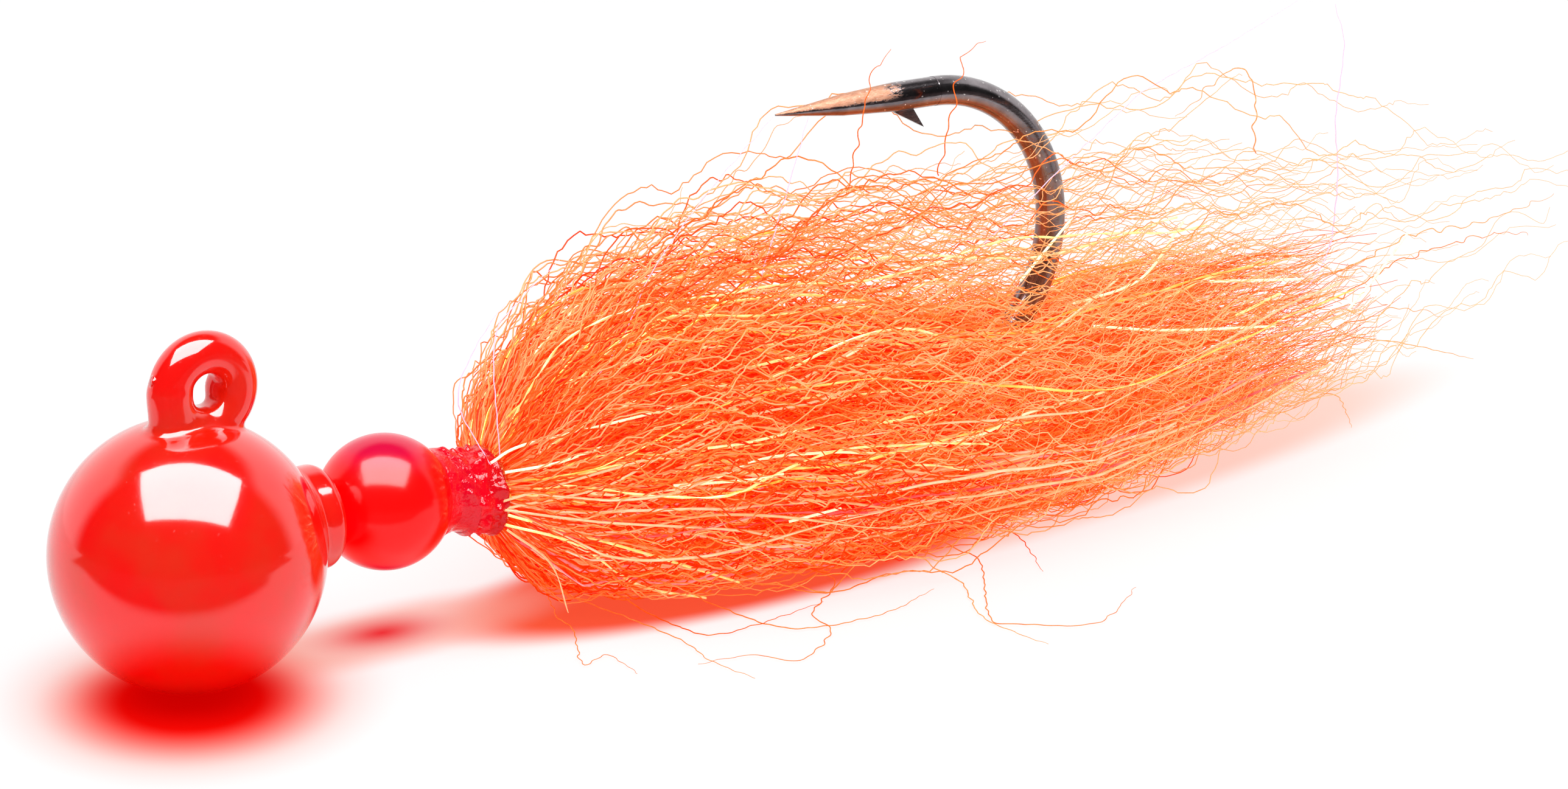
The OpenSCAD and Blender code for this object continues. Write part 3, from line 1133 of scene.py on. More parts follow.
    @staticmethod
    def even(path: np.ndarray, steps: int) -> np.ndarray:
        """Space the points of each strand evenly.

        Args:
            path: Points of each strand.
            steps: How many points are wanted.

        Returns:
            The evenly spaced points.
        """
        result = np.empty((len(path), steps, 3))
        for i, strand in enumerate(path):
            s = np.concatenate([[0], np.cumsum(np.linalg.norm(np.diff(strand, axis=0), axis=1))])
            wanted = np.linspace(0, s[-1], steps)
            for axis in range(3):
                result[i, :, axis] = np.interp(wanted, s, strand[:, axis])
        return result

    @staticmethod
    def across(angle: np.ndarray) -> np.ndarray:
        """Give the direction about the middle line at each strand's angle.

        Args:
            angle: The angle of each strand.

        Returns:
            Unit vectors that the strands never follow.
        """
        return np.stack([np.zeros_like(angle), -np.sin(angle), np.cos(angle)], axis=1)


HAIR_TONES: Stops = [
    (0.0, (0.90, 0.004, 0.0)), (0.3, (0.97, 0.042, 0.0)), (0.55, (0.98, 0.125, 0.006)),
    (0.8, (0.98, 0.280, 0.055)), (1.0, (0.98, 0.480, 0.200))]


@dataclass(frozen=True)
class Layer:
    """How the fibres of one layer of a bunch are made: how many, how finely drawn and how they lie."""

    name: str
    count: int
    steps: int
    loose: float
    crinkle: float
    fine: tuple[float, float]
    pale_share: float
    top_light_rise: float
    tone: float


# The inner layer's lower tone is painted shade inside the hair; the outer layer has more pale strands towards the
# top, as painted light.
INNER = Layer("inner", 250, 48, 0.45, 0.12, (2.4, 3.6), 0.06, 0.0, 0.16)
OUTER = Layer("outer", 205, 148, 1.05, 0.135, (1.1, 1.9), 0.34, 0.10, 0.40)


@dataclass
class Skirt:
    """The crinkled hair: inner and loose outer fibres for each bunch, one packed mat, and strays."""

    layout: Layout
    hair: HairField
    stray_count: int = 60
    stray_steps: int = 190
    fibre_r: float = 0.041
    seed: int = 7

    def build(self) -> None:
        """Build every bunch, the core mat and the strays."""
        finish = StrandFinish("hair_fibre", HAIR_TONES, roughness=0.5, glow=0.3, specular=0.1,
                              tip_lift=0.5).material()
        for number, side in enumerate(Side):
            node, start = side.value
            rng = np.random.default_rng(self.seed + number)
            inner = self.bunch(node, start, rng, INNER, finish)
            outer = self.bunch(node, start, rng, OUTER, finish)
            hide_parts(node)
            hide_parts(node)
        self.core()
        self.strays(finish)

    def bunch(self, node: str, start: float, rng: np.random.Generator, layer: Layer,
              finish: bpy.types.Material) -> bpy.types.Object:
        """Build one layer of fibres of one bunch.

        Args:
            node: The node that the bunch stands for.
            start: The angle at which the bunch starts, in degrees.
            rng: The seeded generator.
            layer: Which layer this is.
            finish: The fibres' material.

        Returns:
            The dressed bunch.
        """
        count, steps = layer.count, layer.steps
        angle = np.radians(start + rng.uniform(-6, 66, count))
        high = np.sin(angle)
        draw = rng.uniform(0, 1, count)
        veil = np.zeros(count)
        if layer is OUTER:
            loose_ones = rng.uniform(0, 1, count) < np.clip(0.11 + 0.36 * high, 0.04, 1)
            veil = np.where(loose_ones, rng.uniform(0.03, 1, count) ** 0.9, 0.0)
            share = np.where(loose_ones, 1.0, 0.88 + 0.15 * draw)
        else:
            share = 0.95 * draw ** 0.4
        length = rng.triangular(15, 41, 51, count)
        length = np.where(draw < 0.15, rng.uniform(10, 32, count), length)
        path = self.hair.paths(rng, angle, share, veil, length, steps, layer.loose, layer.crinkle, layer.fine)
        # Painted light: pale strands grow more common towards the top, and veil strands are paler; the inner
        # layer's lower tone is painted shade.
        pale = rng.uniform(0, 1, count) < layer.pale_share + layer.top_light_rise * high
        middling = rng.normal(layer.tone, 0.14, count)
        tones = np.where(pale, rng.uniform(0.72, 1.0, count), middling)
        tones = np.clip(tones + veil * 0.25, 0, 1)
        twist = rng.uniform(0, TURN, (count, 1)) + np.zeros((1, steps))
        tube = Tube(f"{node}_{layer.name}", half_wide=self.fibre_r, half_thick=self.fibre_r)
        piece = tube.build(path, self.hair.across(angle), twist, tones, self.layout.centre)
        slot = "_".join(node.split("_")[:2])
        dress(piece, finish)
        return piece

    def core(self) -> bpy.types.Object:
        """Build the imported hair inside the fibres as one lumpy, streaked body.

        Returns:
            The dressed mat.
        """
        rng = np.random.default_rng(self.seed + 50)
        around, along = 96, 90
        angle = np.linspace(0, TURN, around, endpoint=False)
        u = np.linspace(0, 1, along)
        run = (self.layout.hair_len - 23.0) * u ** 1.4
        grid_run, grid_angle = np.meshgrid(run, angle, indexing="ij")
        lumps = sum(np.sin(k * grid_angle + p + grid_run * q)
                    for k, p, q in zip((5, 9, 14, 23), rng.uniform(0, TURN, 4), (0.05, -0.07, 0.04, 0.03)))
        wide, tall = self.hair.reach(grid_run, grid_angle, np.zeros(1))
        share = (0.74 + 0.02 * lumps) * np.sqrt(np.clip(1.02 - u, 0, 1))[:, None]
        points = np.stack([self.layout.hair_x + grid_run, share * wide * np.cos(grid_angle),
                           self.hair.middle_z(grid_run) + share * tall * np.sin(grid_angle)], axis=2)
        points[..., 2] = np.maximum(points[..., 2], -self.layout.ball_r + 0.25)
        index = np.arange(along * around).reshape(along, around)
        following = np.roll(index, -1, axis=1)
        quads = np.stack([index[:-1], following[:-1], following[1:], index[1:]], axis=-1).reshape(-1, 4)
        caps = np.stack([index[0][::-1], index[-1]])
        vertices = place(points.reshape(-1, 3), self.layout.centre)
        mat = make_mesh("hair_core_mat", vertices, [quads, caps])
        dress(mat, HairMat().material())
        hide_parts("hair_core")
        return mat

    def strays(self, finish: bpy.types.Material) -> bpy.types.Object:
        """Build the long stray fibres around the skirt.

        Args:
            finish: The fibres' material.

        Returns:
            The dressed strays.
        """
        rng = np.random.default_rng(self.seed + 90)
        count, steps = self.stray_count, self.stray_steps
        angle = np.radians(rng.uniform(0, 360, count))
        share = np.ones(count)
        veil = rng.uniform(0.5, 1.25, count)
        length = rng.uniform(40, self.layout.hair_len + 2, count)
        path = self.hair.paths(rng, angle, share, veil, length, steps, 1.5, 0.10, (0.9, 1.5))
        tones = rng.uniform(0.6, 1.0, count)
        twist = rng.uniform(0, TURN, (count, 1)) + np.zeros((1, steps))
        tube = Tube("hair_strays", half_wide=self.fibre_r * 0.8, half_thick=self.fibre_r * 0.8)
        piece = tube.build(path, self.hair.across(angle), twist, tones, self.layout.centre)
        dress(piece, finish)
        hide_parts("hair_veil_near", "hair_veil_far")
        return piece


@dataclass(frozen=True)
class Wisp:
    """One stray strand through given points, in millimetres about the ball's centre."""

    points: tuple[tuple[float, float, float], ...]
    tone: float
    crinkle: float


def on_floor(*points: tuple[float, float], tone: float = 0.7) -> Wisp:
    """Give a strand that lies on the ground and starts in the hair.

    Args:
        *points: Places on the ground.
        tone: The strand's tone.

    Returns:
        The strand.
    """
    (x, y) = points[0]
    start = ((x - 2.6, y + 2.2, -3.6), (x - 0.9, y + 0.9, -5.2))
    return Wisp(start + tuple((px, py, FLOOR_STRAND_Z) for px, py in points), tone, 0.06)


def upright(*points: tuple[float, float], tone: float = 0.8, y: float = -2.0, crinkle: float = 0.1) -> Wisp:
    """Give a strand that stands up out of the hair in one upright plane.

    Args:
        *points: Places along X and heights.
        tone: The strand's tone.
        y: The plane's place across the lure.
        crinkle: The size of its fine waves.

    Returns:
        The strand.
    """
    return Wisp(tuple((px, y, pz) for px, pz in points), tone, crinkle)


def lying(*points: tuple[float, float, float], tone: float = 0.97) -> Wisp:
    """Give a straight film strand that lies on the hair.

    Args:
        *points: Places along it.
        tone: The strand's tone.

    Returns:
        The strand.
    """
    return Wisp(points, tone, 0.0)


HAIR_WISPS: tuple[Wisp, ...] = (
    on_floor((19.5, 2.5), (17.6, -1.8), (17.3, -3.5), (15.2, -7.5), (16.7, -7.1), (16.5, -9.9)),
    on_floor((19.7, -0.8), (20.1, -3.6), (20.4, -7.5), (20.0, -10.2), (20.3, -13.2), tone=0.8),
    on_floor((30.3, -5.0), (27.1, -7.8), (26.4, -10.2), (23.2, -12.4), (21.9, -10.7), (19.3, -10.3)),
    on_floor((34.9, -8.2), (33.1, -12.0), (32.9, -14.1), (33.2, -16.9), tone=0.9),
    on_floor((37.2, -6.5), (33.2, -12.7), (33.8, -14.1), (36.7, -15.9), (40.9, -13.2)),
    on_floor((21.2, -4.4), (21.7, -7.4), (24.1, -7.6), (28.4, -6.8), tone=0.55),
    on_floor((40.9, -3.9), (40.2, -6.0), (38.7, -9.2), tone=0.55),
    on_floor((24.2, -4.4), (25.2, -8.8), (29.5, -9.6), (33.4, -8.2), tone=0.75),
    on_floor((62.6, 3.4), (65.6, 3.6), (63.1, -1.0), tone=0.9),
    on_floor((72.1, 10.4), (73.5, 7.9), (74.7, 4.0), tone=0.9),
    upright((55.0, 1.8), (61.8, 2.6), (65.5, 3.5), (69.4, 3.4), (74.2, 4.0), tone=0.9),
    upright((54.0, 1.0), (60.9, 1.2), (65.1, 2.4), (70.4, 2.7), (72.8, 2.3), tone=0.7),
    upright((54.0, -0.4), (62.3, -0.6), (65.7, -0.4), (68.5, -1.3), tone=0.9, y=-1.0),
    upright((56.0, 9.0), (55.9, 12.3), (54.6, 13.3), (51.4, 11.5), tone=0.9),
    upright((38.0, 11.0), (39.2, 15.7), (39.4, 16.4), (40.6, 16.9), tone=0.6),
    upright((33.0, 11.0), (34.3, 16.1), (34.9, 16.8), (35.4, 17.3), tone=0.6),
)
VIOLET_WISPS: tuple[Wisp, ...] = (
    upright((40.0, 7.0), (47.8, 12.1), (49.8, 13.2), (54.1, 14.5), (58.4, 16.0), tone=0.95, crinkle=0.02),
    upright((58.0, 1.0), (60.4, 3.3), (61.0, 7.0), (60.8, 10.0), (61.2, 13.4), (60.6, 15.5), crinkle=0.02),
    upright((14.9, 2.0), (14.7, 7.3), (16.1, 9.0), (18.1, 10.4), tone=0.9, y=-1.5, crinkle=0.02),
    upright((17.0, 2.0), (20.8, 6.2), (22.5, 9.1), (25.4, 12.2), (29.0, 15.2), tone=0.9, crinkle=0.02),
    upright((28.0, 7.0), (29.8, 11.8), (30.9, 14.9), tone=0.9, crinkle=0.02),
    upright((14.6, 1.6), (13.0, 4.8), (13.9, 7.1), (15.4, 8.8), tone=0.9, y=-1.2, crinkle=0.02),
)

BRIGHT_WISPS: tuple[Wisp, ...] = (
    lying((46.1, -1.4, 3.4), (49.8, -1.6, 4.0), (51.2, -3.0, 6.9)),
    lying((46.0, -3.1, 2.8), (49.4, -4.3, 2.3), (55.4, -4.6, 1.5)),
    lying((53.0, -2.7, 3.6), (57.9, -3.3, 3.0)),
    lying((60.2, -4.0, 1.3), (62.4, -3.5, 2.6), (65.0, -2.4, 3.8)),
    lying((41.6, -3.4, 5.8), (44.4, -3.4, 8.2)),
    lying((53.3, -4.3, 2.3), (56.4, -3.7, 2.7), tone=0.7),
    lying((14.3, -1.7, 1.9), (15.7, -2.0, 2.5), (18.5, -4.2, 3.5), (21.9, -5.4, 4.1)),
    lying((14.9, -1.9, 1.4), (16.5, -3.6, 2.0), (18.3, -4.6, 2.7)),
    lying((30.9, -4.4, 4.2), (33.7, -3.1, 4.4)),
    lying((14.9, -1.9, -1.0), (17.1, -4.1, -1.7), (20.6, -3.8, -4.4), (24.3, -3.6, -5.8), tone=0.7),
    lying((14.9, -2.1, -0.5), (19.3, -5.0, -2.1), (25.4, -4.6, -5.0), tone=0.65),
    lying((20.9, -6.1, 0.8), (24.6, -6.9, 0.6), (26.1, -7.0, 0.6)),
    lying((26.6, -6.7, -1.8), (29.2, -7.0, -1.6)),
    lying((22.5, -6.4, 2.3), (24.5, -6.5, 2.2), (28.0, -6.6, 2.3), tone=0.8),
    lying((26.2, -4.4, 4.8), (29.5, -3.9, 4.7), tone=0.7),
    lying((31.2, -6.8, 1.9), (32.7, -6.7, 1.8), (35.4, -6.4, 1.8), tone=0.7),
)
PALE_WISPS: tuple[Wisp, ...] = (
    lying((14.8, -1.8, -0.3), (17.9, -5.0, 1.0), (20.8, -5.9, 2.3), (25.3, -6.0, 3.2), (28.9, -5.9, 3.2),
          (37.2, -4.0, 3.4), tone=0.9),
    lying((14.8, -1.9, -0.3), (17.9, -5.0, -0.6), (23.8, -6.5, -1.7), (28.7, -6.1, -3.4), (32.4, -6.2, -3.6),
          (35.3, -6.5, -3.2), tone=0.8),
    lying((14.8, -1.9, 0.1), (18.0, -5.0, 1.7), (22.4, -6.3, 2.5), tone=0.8),
    lying((22.0, -5.8, 3.5), (25.1, -5.6, 3.7), (30.0, -4.8, 4.3), (38.0, -3.4, 6.4), tone=0.8),
    lying((14.9, -2.0, -1.2), (16.5, -3.0, -2.8), (17.0, -3.6, -5.0), tone=0.6),
    lying((33.0, -5.9, 1.4), (40.0, -4.8, 2.6), (47.0, -3.6, 5.0), tone=0.9),
)


@dataclass
class Strays:
    """Stray strands that leave the skirt one by one."""

    layout: Layout
    steps: int = 160
    seed: int = 71

    def build(self) -> None:
        """Build the hair's strays and the fine film's."""
        # Their glow is painted: light through the hair, glints on the film.
        hair = StrandFinish("stray_hair", HAIR_TONES, roughness=0.5, glow=0.35, specular=0.1).material()
        film = StrandFinish("stray_film", [(0.0, (0.80, 0.25, 0.45)), (1.0, (0.90, 0.66, 0.92))],
                            roughness=0.3, coat=0.2, glow=0.35).material()
        bright = StrandFinish("bright_film", [(0.0, (1.0, 0.55, 0.06)), (0.6, (1.0, 0.80, 0.22)),
                                              (1.0, (1.0, 0.98, 0.66))],
                              roughness=0.25, coat=0.3, root_shade=0.0, mottle=0.7, glow=0.55).material()
        pale = StrandFinish("pale_film", [(0.0, (1.0, 0.35, 0.10)), (1.0, (1.0, 0.66, 0.38))],
                            roughness=0.3, coat=0.2, root_shade=0.2, mottle=0.8, glow=0.35).material()
        self.bundle(Tube("stray_hair_strands", 3, 0.033, 0.033), HAIR_WISPS, hair)
        self.bundle(Tube("stray_film_strands", 3, 0.03, 0.03), VIOLET_WISPS, film)
        self.bundle(Tube("bright_film_strands", 4, 0.085, 0.03, 0.8), BRIGHT_WISPS, bright)
        self.bundle(Tube("pale_film_strands", 4, 0.075, 0.03, 0.8), PALE_WISPS, pale)

    def bundle(self, tube: Tube, wisps: tuple[Wisp, ...], finish: bpy.types.Material) -> None:
        """Build one piece out of strands that share a finish.

        Args:
            tube: The piece's name and the strands' section.
            wisps: The strands.
            finish: Their material.
        """
        rng = np.random.default_rng(self.seed)
        paths = np.stack([self.smooth(np.array(wisp.points)) for wisp in wisps])
        step = np.linalg.norm(np.diff(paths, axis=1), axis=2)
        s = np.concatenate([np.zeros((len(wisps), 1)), np.cumsum(step, axis=1)], axis=1)
        size = np.array([wisp.crinkle for wisp in wisps])[:, None]
        for axis, share in ((0, 0.7), (1, 1.0), (2, 0.8)):
            lift = paths[..., 2] > -5.5 if axis == 2 else 1.0
            paths[..., axis] += size * share * lift * waves(rng, len(wisps), s, (1.0, 1.8))
        tones = np.array([wisp.tone for wisp in wisps])
        across = np.tile([-0.1, 0.45, 0.89], (len(wisps), 1))
        piece = tube.build(paths, across, np.zeros((len(wisps), self.steps)), tones, self.layout.centre)
        dress(piece, finish)
        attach(piece, "root")

    def smooth(self, points: np.ndarray) -> np.ndarray:
        """Draw an even, smooth curve through a few points.

        Args:
            points: The points.

        Returns:
            The curve, with the right number of points.
        """
        ends = np.concatenate([[2 * points[0] - points[1]], points, [2 * points[-1] - points[-2]]])
        pieces = []
        for a, b, c, d in zip(ends, ends[1:], ends[2:], ends[3:]):
            t = np.linspace(0, 1, 40, endpoint=False)[:, None]
            pieces.append(0.5 * (2 * b + (c - a) * t + (2 * a - 5 * b + 4 * c - d) * t ** 2
                                 + (3 * b - a - 3 * c + d) * t ** 3))
        curve = np.concatenate(pieces + [points[-1:]])
        return HairField.even(curve[None], self.steps)[0]


@dataclass
class Flash:
    """Metallic film strands among the hair."""

    layout: Layout
    hair: HairField
    half_wide: float = 0.062
    half_thick: float = 0.02
    steps: int = 170
    seed: int = 31

    def build(self) -> None:
        """Build the fans of flash that stand for the flash nodes."""
        # The glow of these finishes is a painted glint on the film.
        gold = StrandFinish("flash_gold", [(0.0, (1.0, 0.40, 0.04)), (0.35, (1.0, 0.62, 0.10)),
                                           (0.7, (1.0, 0.86, 0.30)), (1.0, (1.0, 0.97, 0.62))],
                            roughness=0.25, metallic=0.3, coat=0.4, root_shade=0.1, mottle=1.0,
                            glow=0.5, specular=0.4).material()
        pearl = StrandFinish("flash_pearl", [(0.0, (1.0, 0.36, 0.12)), (0.5, (1.0, 0.52, 0.25)),
                                             (1.0, (1.0, 0.80, 0.58))],
                             roughness=0.3, metallic=0.0, coat=0.2, root_shade=0.1, mottle=0.9,
                             glow=0.3, specular=0.3).material()
        pink = StrandFinish("flash_pink", [(0.0, (0.80, 0.06, 0.06)), (0.5, (1.0, 0.30, 0.30)),
                                           (1.0, (0.97, 0.62, 0.66))],
                            roughness=0.3, metallic=0.0, coat=0.2, root_shade=0.1, mottle=0.9,
                            glow=0.3, specular=0.3).material()
        self.fan("flash_upper_near", 95, 178, 24, gold)
        self.fan("flash_lower_near", 160, 245, 30, pearl)
        self.fan("flash_bottom", 180, 290, 16, pink)
        self.fan("flash_lower_far", 290, 350, 16, pearl)
        self.fan("flash_upper_far", -10, 80, 20, gold)

    def fan(self, node: str, start: float, end: float, count: int, finish: bpy.types.Material) -> bpy.types.Object:
        """Build one fan of strands, some flat and some twisted.

        Args:
            node: The node that the fan stands for.
            start: The first angle about the middle line, in degrees.
            end: The last angle.
            count: How many strands there are.
            finish: Their material.

        Returns:
            The dressed fan.
        """
        rng = np.random.default_rng(self.seed + int(start) % 97)
        angle = np.radians(rng.uniform(start, end, count))
        share = rng.uniform(0.92, 1.03, count)
        veil = np.where(rng.uniform(0, 1, count) < 0.3, rng.uniform(0.1, 0.8, count), 0.0)
        length = rng.uniform(12, 46, count)
        path = self.hair.paths(rng, angle, share, veil, length, self.steps, 0.10, 0.0, weave=0.055)
        s = np.linspace(0, 1, self.steps)[None, :] * length[:, None]
        twisted = rng.uniform(0, 1, (count, 1)) < 0.45
        pitch = rng.uniform(2.2, 4.5, (count, 1))
        twist = rng.uniform(0, TURN, (count, 1)) + waves(rng, count, s, (14.0,)) * 0.6
        twist = twist + np.where(twisted, TURN * s / pitch, 0.0)
        tones = rng.uniform(0, 1, count)
        tube = Tube(f"{node}_strands", sides=4, half_wide=self.half_wide * math.sqrt(2),
                    half_thick=self.half_thick * math.sqrt(2), tip_share=0.8)
        piece = tube.build(path, self.hair.across(angle), twist, tones, self.layout.centre)
        dress(piece, finish)
        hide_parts(node)
        return piece


THREADS: dict[str, Thread] = {
    "thread_base": Thread("base_thread", (0.5, 0.02, 0.04), (0.3, 0.01, 0.02)),
    "thread_wrap": Thread("wrap_thread", (0.75, 0.01, 0.05), (0.45, 0.0, 0.02)),
    "hair_butts": Thread("hair_butts", (0.9, 0.2, 0.03), (0.6, 0.06, 0.01)),
}


@dataclass
class Tie:
    """The thread tie: turns of thread, hair butts, lumpy cement and the clear fillet behind the bead."""

    layout: Layout
    nodes: dict[str, bpy.types.Object]
    around: int = 160
    along: int = 64
    lumps: int = 150

    def build(self) -> None:
        """Dress the thread and build the cement over it."""
        for name, finish in THREADS.items():
            dress_node(self.nodes[name], finish.material())
        self.cement()
        self.fillet()

    def skin(self, name: str, profile: list[tuple[float, float, float]], lump: float,
             seed: int) -> bpy.types.Object:
        """Build a lumpy closed skin about the shank.

        Args:
            name: The piece's name.
            profile: Places along X, each with its radius and the height of its centre.
            lump: The size of the lumps.
            seed: The lumps' seed.

        Returns:
            The linked skin.
        """
        rng = np.random.default_rng(seed)
        xs, rs, zs = (np.array(part) for part in zip(*profile))
        place_along = np.linspace(0, len(xs) - 1, self.along)
        x = np.interp(place_along, np.arange(len(xs)), xs)
        radius = np.interp(place_along, np.arange(len(xs)), rs)
        height = np.interp(place_along, np.arange(len(xs)), zs)
        angle = np.linspace(0, TURN, self.around, endpoint=False)
        grid_x, grid_angle = np.meshgrid(x, angle, indexing="ij")
        bumps = np.zeros_like(grid_x)
        for _ in range(self.lumps):
            at_x, at_angle = rng.uniform(xs[0], xs[-1]), rng.uniform(0, TURN)
            size = rng.uniform(0.07, 0.30)
            turn = np.angle(np.exp(1j * (grid_angle - at_angle))) * radius.max()
            bumps += rng.uniform(-0.6, 1.0) * np.exp(-((grid_x - at_x) ** 2 + turn ** 2) / size ** 2)
        ends = np.clip(np.minimum(place_along, len(xs) - 1 - place_along), 0, 1)
        reach = radius[:, None] + lump * bumps * ends[:, None]
        points = np.stack([grid_x, reach * np.cos(grid_angle),
                           height[:, None] + reach * np.sin(grid_angle)], axis=2)
        index = np.arange(self.along * self.around).reshape(self.along, self.around)
        following = np.roll(index, -1, axis=1)
        quads = np.stack([index[:-1], following[:-1], following[1:], index[1:]], axis=-1).reshape(-1, 4)
        caps = np.stack([index[0][::-1], index[-1]])
        return make_mesh(name, place(points.reshape(-1, 3), self.layout.centre), [quads, caps])

    def cement(self) -> bpy.types.Object:
        """Build the coloured cement over the thread.

        Returns:
            The dressed cement.
        """
        lay = self.layout
        r, z = lay.tie_r, lay.tie_z
        length = lay.tie_end - lay.tie_x
        profile = [(lay.tie_x - 0.05, 0.9, lay.shank_z), (lay.tie_x, r - 0.30, z + 0.1),
                   (lay.tie_x + 0.2 * length, r - 0.12, z), (lay.tie_x + 0.5 * length, r - 0.02, z),
                   (lay.tie_end - 0.45, r + 0.05, z), (lay.tie_end - 0.25, 1.0, z)]
        skin = self.skin("tie_cement", profile, 0.26, 3)
        finish = Cement("crimson_cement", (0.86, 0.0, 0.012), (0.62, 0.0, 0.006), 0.0, glow=0.10,
                        rear=(lay.tie_end * MM + lay.centre.x), front=(lay.tie_x * MM + lay.centre.x))
        dress(skin, finish.material())
        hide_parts("head_cement")
        return skin

    def fillet(self) -> bpy.types.Object:
        """Build the clear cement between the bead and the tie.

        Returns:
            The dressed fillet.
        """
        lay = self.layout
        low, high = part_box("bead_cement")
        start = (low.x - lay.centre.x) / MM
        wide = (high.y - low.y) / 2 / MM
        profile = [(start - 0.25, wide + 0.02, lay.shank_z), (start + 0.1, wide - 0.02, lay.shank_z),
                   (start + 0.6, wide - 0.16, lay.shank_z - 0.05),
                   (lay.tie_x + 0.05, lay.tie_r - 0.05, lay.tie_z + 0.2),
                   (lay.tie_x + 0.3, lay.tie_r - 0.02, lay.tie_z)]
        skin = self.skin("bead_fillet", profile, 0.10, 5)
        finish = Cement("clear_cement", (0.88, 0.0, 0.016), (0.74, 0.0, 0.016), 0.05, glow=0.10,
                        rear=(lay.tie_x * MM + lay.centre.x), front=(start * MM + lay.centre.x))
        dress(skin, finish.material())
        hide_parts("bead_cement")
        return skin


@dataclass(frozen=True)
class PaintedFloorPool:
    """A soft painted pool of colour on the floor: a painted shadow, tinted where light comes through or off the
    lure, or a mask for the floor's painted reflection.
    """

    at: tuple[float, float]
    turn: float
    reach: tuple[float, float]
    softness: float
    colour: Colour
    strength: float = 1.0

    def mask(self, shop: Shop, point: Value, centre: Vector) -> Value:
        """Give the pool's strength at each place.

        Args:
            shop: The floor's node tree.
            point: The Object coordinates.
            centre: The ball's centre in the row frame.

        Returns:
            1 in the pool's middle and 0 outside it.
        """
        spot = Vector((self.at[0] * MM + centre.x, self.at[1] * MM + centre.y, 0.0))
        settings = {"vector_type": "TEXTURE"}
        local = shop.node("ShaderNodeMapping", settings, {
            "Vector": point, "Location": spot, "Rotation": (0.0, 0.0, math.radians(self.turn)),
            "Scale": (self.reach[0] * MM, self.reach[1] * MM, 1.0)})
        across, along = shop.split(local, 0), shop.split(local, 1)
        far = (across * across + along * along) ** 0.5
        edge = self.softness / max(self.reach)
        return far.step(1.0 + edge, 1.0 - edge) * self.strength


WHITE: Colour = (1.0, 1.0, 1.0)
DIM: Colour = (0.10, 0.075, 0.075)
PINK: Colour = (1.0, 0.42, 0.34)
RED: Colour = (1.0, 0.004, 0.002)
DEEP_RED: Colour = (0.70, 0.0, 0.0)
CRIMSON: Colour = (0.90, 0.0, 0.012)
PEACH: Colour = (1.0, 0.52, 0.38)
ORANGE_RED: Colour = (0.95, 0.070, 0.012)

# Painted shadows under the ball, the bead and the hair, tinted red, pink and peach.
PAINTED_FLOOR_SHADOWS: tuple[PaintedFloorPool, ...] = (
    PaintedFloorPool((42.0, 1.2), 6.0, (28.0, 5.8), 5.0, PEACH, 0.6),
    PaintedFloorPool((28.5, 0.0), 3.0, (15.0, 5.4), 2.6, ORANGE_RED, 0.95),
    PaintedFloorPool((-0.7, -1.2), -34.8, (6.2, 8.0), 4.0, PINK, 0.95),
    PaintedFloorPool((10.5, 1.0), 4.0, (8.0, 2.8), 3.4, PINK, 0.7),
    PaintedFloorPool((10.4, 1.2), 4.0, (2.0, 1.25), 2.3, CRIMSON, 0.95),
    PaintedFloorPool((-0.8, -1.4), -34.8, (4.9, 6.0), 2.6, RED, 1.0),
    PaintedFloorPool((-0.3, -0.6), -34.8, (3.4, 3.8), 2.2, DEEP_RED, 0.95),
)


